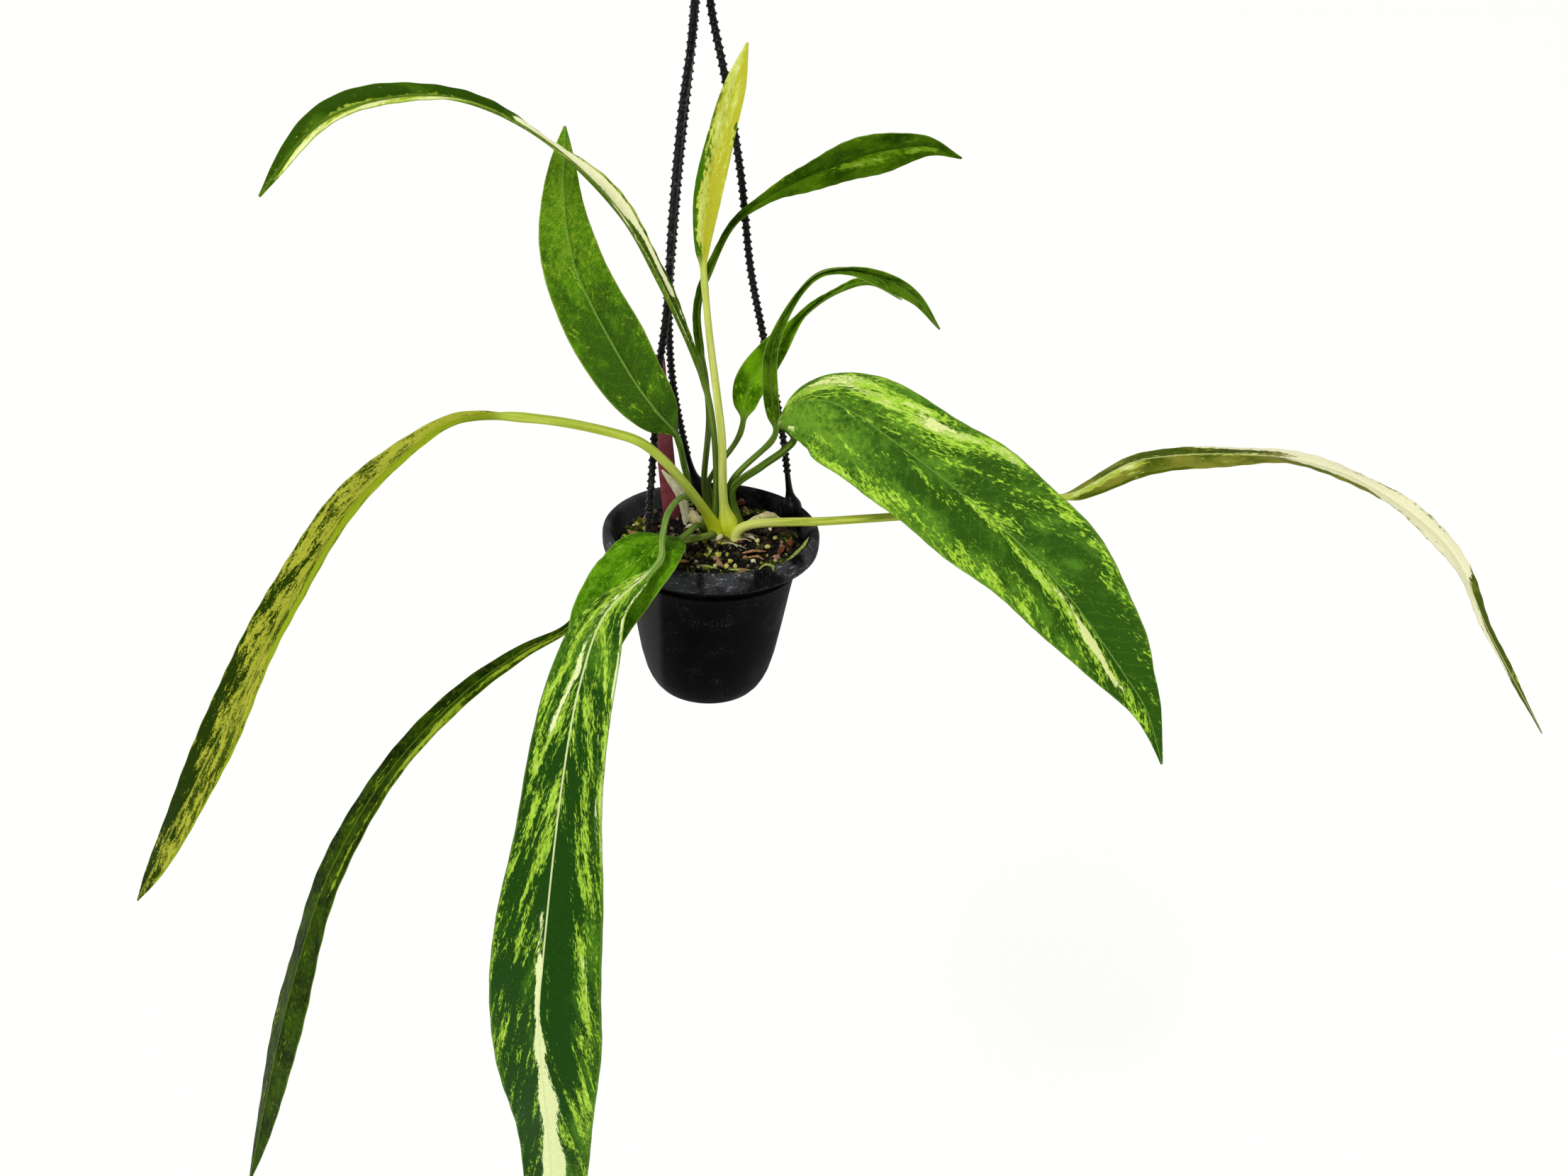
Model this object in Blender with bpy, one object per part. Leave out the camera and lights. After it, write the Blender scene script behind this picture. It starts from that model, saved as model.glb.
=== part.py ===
"""A variegated strap-leaved anthurium growing in a small black hanging pot.

The pot hangs by three ribbed strands from a hook. Twelve long leaves stand on their stalks in a low
crown stem and arch over the rim, some of them far below the pot.

Lengths below are millimetres in the pot's own frame: the middle of the pot's base is the origin, +Z is
up, +X runs to the right and +Y to the back as the pot is seen. The finished model is in metres, and its
origin is the seat of the hook, the point that the whole part hangs from.
"""

import numpy as np
import bmesh
import bpy

MM = 0.001
HOOK_SEAT = np.array([-14.0, 0.0, 499.0])
GAP = 0.35
SOIL_TOP = 104.0
STALK_BASE = 103.0
HOLE_CLEARANCE = 0.45
POT_SIDES = 40
BLACK = (0.012, 0.012, 0.013)

for old in list(bpy.data.objects):
    bpy.data.objects.remove(old)


def coloured(name, colour, roughness, metallic=0.0):
    """A Principled material of one plain colour."""
    material = bpy.data.materials.new(name)
    material.use_nodes = True
    shader = material.node_tree.nodes["Principled BSDF"]
    shader.inputs["Base Color"].default_value = (*colour, 1.0)
    shader.inputs["Roughness"].default_value = roughness
    shader.inputs["Metallic"].default_value = metallic
    return material


def add_solid(name, points, faces, material=None, cutter=False):
    """One closed body from points in the pot's frame, with its faces turned outwards."""
    mesh = bpy.data.meshes.new(name)
    placed = (np.asarray(points, float) - HOOK_SEAT) * MM
    mesh.from_pydata(placed.tolist(), [], [list(map(int, face)) for face in faces])
    shape = bmesh.new()
    shape.from_mesh(mesh)
    bmesh.ops.recalc_face_normals(shape, faces=shape.faces)
    shape.to_mesh(mesh)
    shape.free()
    body = bpy.data.objects.new(name, mesh)
    bpy.context.scene.collection.objects.link(body)
    if cutter:
        body.hide_render = True
        body.display_type = "WIRE"
    else:
        mesh.materials.append(material)
        mesh.shade_smooth()
        mesh.set_sharp_from_angle(angle=np.radians(40))
    return body


def cut(body, cutter):
    """Takes the cutter's shape out of the body."""
    modifier = body.modifiers.new("cut by " + cutter.name, "BOOLEAN")
    modifier.operation = "DIFFERENCE"
    modifier.solver = "EXACT"
    modifier.object = cutter


def ringed(rings):
    """Points and faces of a closed skin over rings of points, with a flat cap on each end."""
    count, sides = rings.shape[:2]
    faces = []
    for i in range(count - 1):
        for j in range(sides):
            near = i * sides + j
            beside = i * sides + (j + 1) % sides
            faces.append((near, beside, beside + sides, near + sides))
    faces.append(tuple(range(sides)))
    faces.append(tuple(range((count - 1) * sides, count * sides)))
    return rings.reshape(-1, 3), faces


def turned(profile, sides, centre=(0.0, 0.0), squash=(1.0, 1.0)):
    """Rings of a body turned about an upright axis, from its (radius, height) profile."""
    angle = 2 * np.pi * np.arange(sides) / sides
    rings = []
    for radius, height in profile:
        x = centre[0] + radius * squash[0] * np.cos(angle)
        y = centre[1] + radius * squash[1] * np.sin(angle)
        rings.append(np.stack([x, y, np.full(sides, height)], axis=1))
    return np.array(rings)


def merged(bodies):
    """Several separate bodies, given as (points, faces), as one set of points and faces."""
    points = []
    faces = []
    first = 0
    for body_points, body_faces in bodies:
        points.extend(np.asarray(body_points, float).tolist())
        faces.extend(tuple(first + k for k in face) for face in body_faces)
        first += len(body_points)
    return np.array(points), faces


def smooth_line(points):
    """A dense smooth curve through the points (centripetal Catmull-Rom), and the length up to each point."""
    keys = np.array(points, float)
    keys = np.vstack([2 * keys[0] - keys[1], keys, 2 * keys[-1] - keys[-2]])
    spans = np.sqrt(np.linalg.norm(np.diff(keys, axis=0), axis=1))
    knots = np.concatenate([[0.0], np.cumsum(spans)])
    pieces = []
    for i in range(1, len(keys) - 2):
        k0, k1, k2, k3 = knots[i - 1:i + 3]
        t = np.linspace(k1, k2, 24, endpoint=False)[:, None]
        a1 = ((k1 - t) * keys[i - 1] + (t - k0) * keys[i]) / (k1 - k0)
        a2 = ((k2 - t) * keys[i] + (t - k1) * keys[i + 1]) / (k2 - k1)
        a3 = ((k3 - t) * keys[i + 1] + (t - k2) * keys[i + 2]) / (k3 - k2)
        b1 = ((k2 - t) * a1 + (t - k0) * a2) / (k2 - k0)
        b2 = ((k3 - t) * a2 + (t - k1) * a3) / (k3 - k1)
        pieces.append(((k2 - t) * b1 + (t - k1) * b2) / (k2 - k1))
    line = np.vstack(pieces + [keys[-2:-1]])
    steps = np.linalg.norm(np.diff(line, axis=0), axis=1)
    along = np.concatenate([[0.0], np.cumsum(steps)])
    return line, along


def points_at(line, along, places):
    """The curve's points at the given distances along it."""
    return np.stack([np.interp(places, along, line[:, k]) for k in range(3)], axis=1)


def eased(keys, at):
    """Values at the places in `at`, on a curve without corners through (place, value) keys.

    Between two keys it is a cubic Hermite curve, whose slope at a key is that of the line between its
    two neighbours.
    """
    place, value = np.array(keys, float).T
    step = np.diff(place)
    slope = np.empty(len(place))
    slope[0] = (value[1] - value[0]) / step[0]
    slope[-1] = (value[-1] - value[-2]) / step[-1]
    slope[1:-1] = (value[2:] - value[:-2]) / (place[2:] - place[:-2])
    i = np.clip(np.searchsorted(place, at) - 1, 0, len(step) - 1)
    t = np.clip((at - place[i]) / step[i], 0, 1)
    from_start = (2 * t**3 - 3 * t**2 + 1) * value[i] + (t**3 - 2 * t**2 + t) * step[i] * slope[i]
    from_end = (3 * t**2 - 2 * t**3) * value[i + 1] + (t**3 - t**2) * step[i] * slope[i + 1]
    return from_start + from_end


def swept(line, radii, sides):
    """Rings of a round bar along a line, each turned as little as possible from the one before."""
    line = np.asarray(line, float)
    tangents = np.gradient(line, axis=0)
    tangents /= np.linalg.norm(tangents, axis=1)[:, None]
    side = np.array([0.2, 0.97, 0.1])
    angle = (2 * np.pi * np.arange(sides) / sides)[:, None]
    rings = []
    for point, tangent, radius in zip(line, tangents, radii):
        side = side - tangent * np.dot(side, tangent)
        side /= np.linalg.norm(side)
        other = np.cross(tangent, side)
        rings.append(point + radius * (np.cos(angle) * side + np.sin(angle) * other))
    return np.array(rings)


# Pot: a thin moulded plastic pot, plain inside, with two moulded ridges under a wide rolled rim.
# The outline runs up the outside from the base, over the rim and down the inside to the floor.
POT_OUTSIDE = [(33.5, 0.0), (35.6, 1.5), (40.7, 15.0), (47.8, 45.0), (53.2, 75.0), (56.2, 90.2)]
POT_RIDGES = [(58.0, 91.0), (58.0, 92.4), (57.0, 93.2), (57.4, 95.4), (59.2, 96.2), (59.2, 97.6),
              (58.2, 98.5)]
POT_RIM = [(61.0, 101.0), (68.8, 103.4), (70.0, 108.0), (69.8, 112.5), (68.8, 115.0), (67.0, 115.7),
           (65.2, 115.0), (63.6, 113.0)]
POT_INSIDE = [(62.8, 108.0), (61.5, 103.0), (58.5, 101.5), (55.0, 99.0), (53.3, 90.0), (45.6, 45.0),
              (38.3, 15.0), (33.8, 3.0)]
DRAIN_RADIUS = 4.0
DRAIN_CIRCLE = 21.0
DRAIN_COUNT = 4

pot_points, pot_faces = ringed(turned(POT_OUTSIDE + POT_RIDGES + POT_RIM + POT_INSIDE, POT_SIDES))
pot = add_solid("pot", pot_points, pot_faces, coloured("black plastic", BLACK, 0.45))
drains = []
for i in range(DRAIN_COUNT):
    turn = 2 * np.pi * (i + 0.5) / DRAIN_COUNT
    middle = (DRAIN_CIRCLE * np.cos(turn), DRAIN_CIRCLE * np.sin(turn))
    drains.append(ringed(turned([(DRAIN_RADIUS, -5.0), (DRAIN_RADIUS, 6.0)], 12, middle)))
cut(pot, add_solid("drain holes", *merged(drains), cutter=True))


# Crown stem: the short thick stem that all the stalks stand in, a low mound in the potting mix.
# Each stalk has its own plain hole in it, a little wider than the stalk.
CROWN_MIDDLE = (6.0, 11.5)
CROWN_HALF_WIDTHS = (17.0, 20.5)
CROWN_BOTTOM = 98.3
CROWN_PROFILE = [(0.94, CROWN_BOTTOM), (1.0, 103.5), (0.98, 105.5), (0.88, 107.0), (0.7, 108.0), (0.4, 108.6)]
CROWN_SIDES = 20
STALK_SOCKETS = {
    "leaf_arching_left_high": ((1.2, 11.3), 2.3),
    "leaf_broad_left": ((2.0, 17.5), 2.3),
    "leaf_new_upright": ((11.0, 7.0), 3.3),
    "leaf_upper_right": ((-2.0, 22.0), 2.3),
    "leaf_arching_right": ((13.0, 16.0), 2.3),
    "leaf_arching_right_rear": ((4.0, 27.0), 2.1),
    "leaf_variegated_right": ((18.0, 11.0), 2.8),
    "leaf_far_right": ((16.0, 1.0), 3.2),
    "leaf_far_left": ((2.0, 4.0), 3.3),
    "leaf_low_left": ((1.0, -3.0), 2.4),
    "leaf_long_front": ((-6.0, 9.0), 2.4),
    "leaf_broad_front": ((-5.5, 2.5), 2.2),
}

crown_rings = turned(CROWN_PROFILE, CROWN_SIDES, CROWN_MIDDLE, CROWN_HALF_WIDTHS)
crown = add_solid("crown_stem", *ringed(crown_rings), coloured("crown stem", (0.10, 0.12, 0.03), 0.7))
sockets = []
for base, stalk_radius in STALK_SOCKETS.values():
    hole = stalk_radius + HOLE_CLEARANCE
    sockets.append(ringed(turned([(hole, STALK_BASE - 0.3), (hole, 115.0)], 12, base)))
cut(crown, add_solid("stalk sockets", *merged(sockets), cutter=True))


# Label stake: a plain flat plastic strip with a pointed foot, pushed into the mix and leaning left.
LABEL_SECTION = (12.0, 1.0)
LABEL_FOOT = np.array([-24.0, 27.0, SOIL_TOP])
LABEL_TOP = np.array([-35.0, 22.0, 221.0])
LABEL_DEPTH = 15.0
LABEL_POINT = 9.0


def label_strip(margin):
    """Points and faces of the strip, or with a margin those of the slot that it stands in."""
    up = LABEL_TOP - LABEL_FOOT
    up = up / np.linalg.norm(up)
    face = np.array([0.12, -1.0, 0.0])
    face = face - up * np.dot(face, up)
    face = face / np.linalg.norm(face)
    across = np.cross(up, face)
    half = LABEL_SECTION[0] / 2 + margin
    length = np.linalg.norm(LABEL_TOP - LABEL_FOOT)
    outline = [(-half, -LABEL_DEPTH + LABEL_POINT), (-0.6 - margin, -LABEL_DEPTH - margin)]
    outline += [(0.6 + margin, -LABEL_DEPTH - margin), (half, -LABEL_DEPTH + LABEL_POINT)]
    outline += [(half, length - 3.0), (half - 3.0, length), (3.0 - half, length), (-half, length - 3.0)]
    depth = LABEL_SECTION[1] / 2 + margin
    rings = []
    for side in (-depth, depth):
        rings.append([LABEL_FOOT + across * x + up * z + face * side for x, z in outline])
    return ringed(np.array(rings))


add_solid("label_stake", *label_strip(0.0), coloured("dull red plastic", (0.20, 0.022, 0.035), 0.5))


# Old stalk: the dry cream stump of a dead leaf, standing in the mix behind the crown stem.
OLD_STALK_LINE = [(-18.8, 23.2, 97.0), (-18.8, 23.2, 104.0), (-22.3, 22.3, 124.5), (-34.8, 20.5, 143.2)]
OLD_STALK_RADII = [1.5, 1.5, 2.2, 2.3, 1.8, 0.8]

stalk_line, stalk_along = smooth_line(OLD_STALK_LINE)
stalk_places = np.linspace(0.0, stalk_along[-1], len(OLD_STALK_RADII))
stalk_points = points_at(stalk_line, stalk_along, stalk_places)
add_solid("old_stalk", *ringed(swept(stalk_points, OLD_STALK_RADII, 8)),
          coloured("dry stalk", (0.55, 0.50, 0.33), 0.8))


# Potting mix: one solid plug that fills the pot to just under its rim, with a slightly uneven top and
# recesses for the crown stem, the label stake and the old stalk. It keeps GAP clear of the pot's wall.
MIX_SIDE = [(33.3, 3.4), (37.9, 15.0), (45.2, 45.0), (52.9, 90.0), (54.5, 99.4), (58.1, 102.0), (61.0, 103.5)]
MIX_TOP = [(60.9, SOIL_TOP), (50.0, SOIL_TOP), (38.0, SOIL_TOP), (24.0, SOIL_TOP)]
MIX_UNEVENNESS = 0.5

mix_rings = turned(MIX_SIDE + MIX_TOP, POT_SIDES)
for ring in mix_rings[len(MIX_SIDE) + 1:]:
    bearing = np.arctan2(ring[:, 1], ring[:, 0])
    distance = np.hypot(ring[:, 0], ring[:, 1])
    ring[:, 2] += MIX_UNEVENNESS * np.sin(4 * bearing + distance / 7) * np.cos(3 * bearing - distance / 9)
mix = add_solid("potting_mix", *ringed(mix_rings), coloured("potting mix", (0.025, 0.017, 0.010), 0.95))
recess = turned([(1.0, CROWN_BOTTOM - GAP), (1.0, 125.0)], CROWN_SIDES, CROWN_MIDDLE,
                (CROWN_HALF_WIDTHS[0] + GAP, CROWN_HALF_WIDTHS[1] + GAP))
stump_hole = turned([(1.5 + GAP, 96.6), (1.5 + GAP, 112.0)], 10, OLD_STALK_LINE[0][:2])
recesses = merged([ringed(recess), ringed(stump_hole), label_strip(GAP)])
cut(mix, add_solid("mix recesses", *recesses, cutter=True))


# Aerial roots: two thick pale roots that leave the crown stem and rest on the potting mix.
ROOT_SIDES = 8
ROOTS = {
    "aerial_root_left": (
        [(-9.6, 22.6, 107.6), (-13.5, 27.5, 108.3), (-18.5, 33.0, 108.0), (-25.0, 40.0, 107.4)],
        [1.6, 2.5, 2.7, 2.6, 2.2, 1.2]),
    "aerial_root_right": (
        [(21.8, 21.4, 107.2), (28.0, 27.0, 107.6), (33.5, 31.5, 107.8), (38.5, 34.0, 107.6),
         (44.0, 33.0, 107.2)],
        [1.6, 2.3, 2.6, 2.8, 2.7, 1.3]),
}

for name, (points, radii) in ROOTS.items():
    root_line, root_along = smooth_line(points)
    root_points = points_at(root_line, root_along, np.linspace(0.0, root_along[-1], len(radii)))
    add_solid(name, *ringed(swept(root_points, radii, ROOT_SIDES)),
              coloured(name.replace("_", " "), (0.50, 0.45, 0.28), 0.75))


# Hanger strands: three moulded plastic strands. Each grows out of a rounded lug that straddles the
# pot's rim and runs taut, with a slight bow, to the hub under the hook.
STRAND_RADIUS = 2.0
LUG_CIRCLE = 63.8
LUG_KEYS = [(105.5, 3.2), (108.0, 5.4), (113.0, 6.1), (118.0, 5.8), (123.0, 4.0), (129.0, 2.7),
            (137.0, 2.1), (150.0, STRAND_RADIUS)]
HUB_BOTTOM = 440.0
HUB_CIRCLE = 4.6
STRAND_SIDES = 8
STRANDS = {
    "strand_left": (236.0, 236.0, [
        (-34.4, -53, 133.6), (-32.4, -46, 177.6), (-29.8, -38, 231), (-26.6, -32, 262), (-24.7, -22, 315),
        (-20.9, -13, 368.5), (-17.4, -7, 399), (-16.3, -4.4, 419)]),
    "strand_back": (104.0, 104.0, [
        (-21, 60, 134), (-27.5, 53, 167), (-31.7, 46, 198.5), (-33, 39, 230), (-32, 32, 262),
        (-29.4, 26, 293), (-26, 19, 330), (-22, 12, 365.5), (-17.6, 5.4, 405)]),
    "strand_right": (37.0, 25.0, [
        (48.8, 40, 124), (41.3, 35, 170), (26.7, 26, 234), (17.5, 20, 276), (9.9, 13, 331.5), (0.4, 7, 380),
        (-8.6, 2.2, 419)]),
}
RIM_CUT = [(60.4, 100.0), (62.4, 108.0), (63.2, 113.2), (64.9, 115.5), (67.0, 116.2), (69.2, 115.4),
           (70.2, 112.7), (70.4, 100.0)]

rim_rings = turned(RIM_CUT, POT_SIDES)
rim_count = len(RIM_CUT)
rim_faces = []
for i in range(rim_count):
    for j in range(POT_SIDES):
        j_next = (j + 1) % POT_SIDES
        i_next = (i + 1) % rim_count
        rim_faces.append((i * POT_SIDES + j, i * POT_SIDES + j_next,
                          i_next * POT_SIDES + j_next, i_next * POT_SIDES + j))
rim_cutter = add_solid("rim clearance", rim_rings.reshape(-1, 3), rim_faces, cutter=True)

for name, (rim_angle, hub_angle, way) in STRANDS.items():
    rim_x = LUG_CIRCLE * np.cos(np.radians(rim_angle))
    rim_y = LUG_CIRCLE * np.sin(np.radians(rim_angle))
    hub_x = HOOK_SEAT[0] + HUB_CIRCLE * np.cos(np.radians(hub_angle))
    hub_y = HOOK_SEAT[1] + HUB_CIRCLE * np.sin(np.radians(hub_angle))
    keys = [(rim_x, rim_y, LUG_KEYS[0][0]), (rim_x, rim_y, 114.0)] + way + [(hub_x, hub_y, HUB_BOTTOM)]
    strand_line, strand_along = smooth_line(keys)
    heights = [height for height, _ in LUG_KEYS] + list(np.linspace(172.0, HUB_BOTTOM, 13))
    places = np.interp(heights, strand_line[:, 2], strand_along)
    radii = np.interp(heights, [height for height, _ in LUG_KEYS], [radius for _, radius in LUG_KEYS])
    strand_rings = swept(points_at(strand_line, strand_along, places), radii, STRAND_SIDES)
    strand = add_solid(name, *ringed(strand_rings), coloured(name.replace("_", " "), BLACK, 0.4))
    cut(strand, rim_cutter)


# Hanger hook: the round hub that the strands run into, and the open hook above it, in one piece.
HOOK_BAR = 2.6
HOOK_RADIUS = 15.6
HOOK_START, HOOK_END = -70.0, 215.0
HOOK_MIDDLE = (HOOK_SEAT[0], HOOK_SEAT[2] + HOOK_BAR - HOOK_RADIUS)
HUB = [(-14.0, 440.5, 7.2), (-14.0, 442.0, 7.6), (-14.0, 447.0, 7.4), (-14.0, 452.0, 4.5),
       (-14.0, 458.0, 3.0), (-12.4, 465.5, HOOK_BAR)]

hook_line = [(x, 0.0, z) for x, z, _ in HUB]
hook_radii = [radius for _, _, radius in HUB]
for turn in np.radians(np.linspace(HOOK_START, HOOK_END, 20)):
    x = HOOK_MIDDLE[0] + HOOK_RADIUS * np.cos(turn)
    z = HOOK_MIDDLE[1] + HOOK_RADIUS * np.sin(turn)
    hook_line.append((x, 0.0, z))
    hook_radii.append(HOOK_BAR)
add_solid("hanger_hook", *ringed(swept(hook_line, hook_radii, 10)), coloured("hook plastic", BLACK, 0.4))


# Leaves: each is one closed skin, a round stalk that flattens into a thin blade folded along its midrib,
# with waved edges. The keel under the midrib tapers from the stalk to the tip. A ring of the skin has
# ACROSS points on its upper side and as many below, and both sides are split into triangles alike.
BLADE_EDGE = 0.7
KEEL = (0.4, 2.0)
KEEL_WIDTH = 3.5
STALK_TO_BLADE = 14.0
ACROSS = 5
EDGE_FOLD_LOSS = 0.35
RIGHT_EDGE_SHIFT = 1.3
STALK_STRAIGHT = 7.0
SOCKET_TOP = 6.2
STALK_STEP = 14.0
BLADE_STEP = 15.0
BLADE_STEP_COUNTS = (12, 32)
ROUND_ARC = (18, 162)


def leaf_faces(count):
    """Triangles of a closed blade whose rings hold ACROSS points on top and as many below."""
    faces = []
    ring = 2 * ACROSS

    def corner(i, j, below):
        return i * ring + (ACROSS + j if below else j)

    for i in range(count - 1):
        for j in range(ACROSS - 1):
            for below in (False, True):
                near, beside = corner(i, j, below), corner(i, j + 1, below)
                faces.append((near, beside, beside + ring))
                faces.append((near, beside + ring, near + ring))
        for j in (0, ACROSS - 1):
            top, low = corner(i, j, False), corner(i, j, True)
            faces.append((top, low, low + ring))
            faces.append((top, low + ring, top + ring))
    for i in (0, count - 1):
        for j in range(ACROSS - 1):
            faces.append((corner(i, j, False), corner(i, j + 1, False), corner(i, j + 1, True)))
            faces.append((corner(i, j, False), corner(i, j + 1, True), corner(i, j, True)))
    return faces


def add_leaf(name, colour, heading, way, blade_from, stalk, half, roll, fold, wave):
    """One leaf from its socket to its tip.

    heading: the compass direction of the leaf's plane, in degrees from +X. way: points of the midrib
    above the socket. blade_from: where the blade starts, along the midrib. stalk: radii at the socket,
    a third of the way up and at the blade. The rest are keys of (place, value), where the place runs
    from 0 at the blade's start to 1 at its tip: half width, roll about the midrib and fold of each half
    upwards, in degrees. wave: height, number and phase of the waves of the edge.
    """
    base_x, base_y = STALK_SOCKETS[name][0]
    socket = [(base_x, base_y, STALK_BASE), (base_x, base_y, STALK_BASE + STALK_STRAIGHT)]
    line, along = smooth_line(socket + way)
    length = along[-1]
    stalk_steps = int(round(blade_from / STALK_STEP))
    blade_steps = int(np.clip(round((length - blade_from) / BLADE_STEP), *BLADE_STEP_COUNTS))
    places = np.concatenate([[0.0], np.linspace(SOCKET_TOP, blade_from, stalk_steps),
                             np.linspace(blade_from, length, blade_steps + 1)[1:]])
    middle = points_at(line, along, places)
    u = np.clip((places - blade_from) / (length - blade_from), 0, 1)

    tangent = np.gradient(line, along, axis=0)
    tangent = points_at(tangent, along, places)
    tangent /= np.linalg.norm(tangent, axis=1)[:, None]
    level = np.array([-np.sin(np.radians(heading)), np.cos(np.radians(heading)), 0.0])
    up0 = np.cross(tangent, level)
    up0 /= np.linalg.norm(up0, axis=1)[:, None]
    left0 = np.cross(up0, tangent)
    turn = np.radians(eased(roll, u))[:, None]
    left = (left0 * np.cos(turn) + up0 * np.sin(turn))[:, None, :]
    up = (up0 * np.cos(turn) - left0 * np.sin(turn))[:, None, :]

    place = np.linspace(-1, 1, ACROSS)[None, :]
    out = np.abs(place)
    side = np.sign(place)
    width = np.maximum(eased(half, u), 0.5)[:, None]
    bend = np.radians(eased(fold, u))[:, None] * (1 - EDGE_FOLD_LOSS * out)
    height, waves, phase = wave
    swell = np.where((u > 0) & (u < 1), np.sin(np.pi * u), 0.0)[:, None] ** 0.7
    turns = 2 * np.pi * waves * u[:, None] + phase + RIGHT_EDGE_SHIFT * (side > 0)
    ripple = height * swell * out**2 * np.sin(turns)
    sideways = (side * width * out * np.cos(bend))[..., None]
    upwards = (width * out * np.sin(bend) + ripple)[..., None]
    skin = middle[:, None, :] - left * sideways + up * upwards
    normal = up * np.cos(bend)[..., None] + left * (side * np.sin(bend))[..., None]
    keel = KEEL[0] + KEEL[1] * (1 - u[:, None])
    thickness = BLADE_EDGE + keel * np.maximum(0, 1 - KEEL_WIDTH * out)
    blade_top = skin + normal * BLADE_EDGE / 2
    blade_low = skin - normal * (thickness - BLADE_EDGE / 2)[..., None]

    radius = np.interp(places, [0, 0.35 * blade_from, blade_from], stalk)[:, None, None]
    angle = np.radians(np.linspace(*ROUND_ARC, ACROSS))[None, :, None]
    stalk_top = middle[:, None, :] + radius * (np.cos(angle) * left + np.sin(angle) * up)
    stalk_low = middle[:, None, :] + radius * (np.cos(angle) * left - np.sin(angle) * up)
    blend = np.clip((places - blade_from) / STALK_TO_BLADE, 0, 1)
    blend = (blend**2 * (3 - 2 * blend))[:, None, None]
    top = stalk_top * (1 - blend) + blade_top * blend
    low = stalk_low * (1 - blend) + blade_low * blend
    rings = np.concatenate([top, low], axis=1)
    return add_solid(name, rings.reshape(-1, 3), leaf_faces(len(places)), coloured(name, colour, 0.45))


# The high leaf that arches over to the left, with a narrow twist half way.
add_leaf("leaf_arching_left_high", (0.16, 0.26, 0.05), heading=218, blade_from=118, stalk=(2.3, 2.0, 1.9),
         way=[(1, 6, 158), (-3, 0, 196), (-10, -13, 227), (-29, -49, 285), (-47, -65, 322), (-83, -91, 362),
              (-118, -104, 377), (-154, -114, 374), (-177, -120, 363), (-205, -127, 332)],
         half=[(0, 2), (0.12, 4), (0.35, 7), (0.5, 5.5), (0.6, 5.5), (0.7, 7.5), (0.85, 9.8), (0.94, 6),
               (1, 0.6)],
         roll=[(0, -49), (0.42, -49), (0.55, -15), (0.68, -30), (1, -30)],
         fold=[(0, 45), (0.42, 45), (0.55, 8), (0.68, 38), (1, 34)], wave=(0.8, 5, 0.3))

# The broad plain leaf that stands up on the left.
add_leaf("leaf_broad_left", (0.05, 0.17, 0.03), heading=228, blade_from=108, stalk=(2.3, 2.0, 1.8),
         way=[(-13, 8, 132), (-17, -6, 155), (-20, -40, 193), (-29, -60, 214), (-41, -65, 233),
              (-63, -67, 274), (-71, -69, 295), (-75, -71, 328), (-73, -70, 363)],
         half=[(0, 2), (0.06, 5), (0.14, 11.5), (0.25, 16.5), (0.4, 19.5), (0.55, 18.5), (0.7, 15.5),
               (0.85, 10), (0.94, 5), (1, 0.6)],
         roll=[(0, 70), (1, 75)], fold=[(0, 14), (0.3, 8), (1, 12)], wave=(1.3, 4, 0.5))

# The new leaf, pale and still folded, that stands straight up on a thick stalk.
add_leaf("leaf_new_upright", (0.36, 0.36, 0.05), heading=350, blade_from=180, stalk=(3.3, 2.7, 2.4),
         way=[(7, 4, 130), (5, -5, 178), (2, -9, 204), (-5, -14, 257), (-8, -16, 298), (-3, -18, 337),
              (13, -22, 402)],
         half=[(0, 2.4), (0.1, 4.5), (0.3, 8), (0.45, 8.6), (0.65, 7.8), (0.82, 6.3), (0.93, 3.2), (1, 0.5)],
         roll=[(0, 90), (1, 92)], fold=[(0, 45), (0.3, 36), (1, 32)], wave=(0.8, 3, 0.0))

# The dark leaf that rises behind the new one and bends over to the right.
add_leaf("leaf_upper_right", (0.02, 0.10, 0.02), heading=0, blade_from=115, stalk=(2.3, 2.0, 1.8),
         way=[(-7, 20, 133), (-5, 16, 186), (-13, 12, 249), (-11, 11, 263), (-7, 10, 274), (6, 7, 303),
              (24, 4, 320), (71, 1, 345), (105, 0, 354), (116, 0, 354), (132, 0, 349)],
         half=[(0, 2), (0.1, 4), (0.42, 4.2), (0.52, 5), (0.6, 8), (0.7, 12.5), (0.8, 13), (0.88, 9),
               (0.95, 3.5), (1, 0.5)],
         roll=[(0, 60), (0.42, 70), (0.55, 112), (1, 116)],
         fold=[(0, 65), (0.4, 60), (0.52, 22), (1, 15)], wave=(1.0, 5, 0.0))

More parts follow.
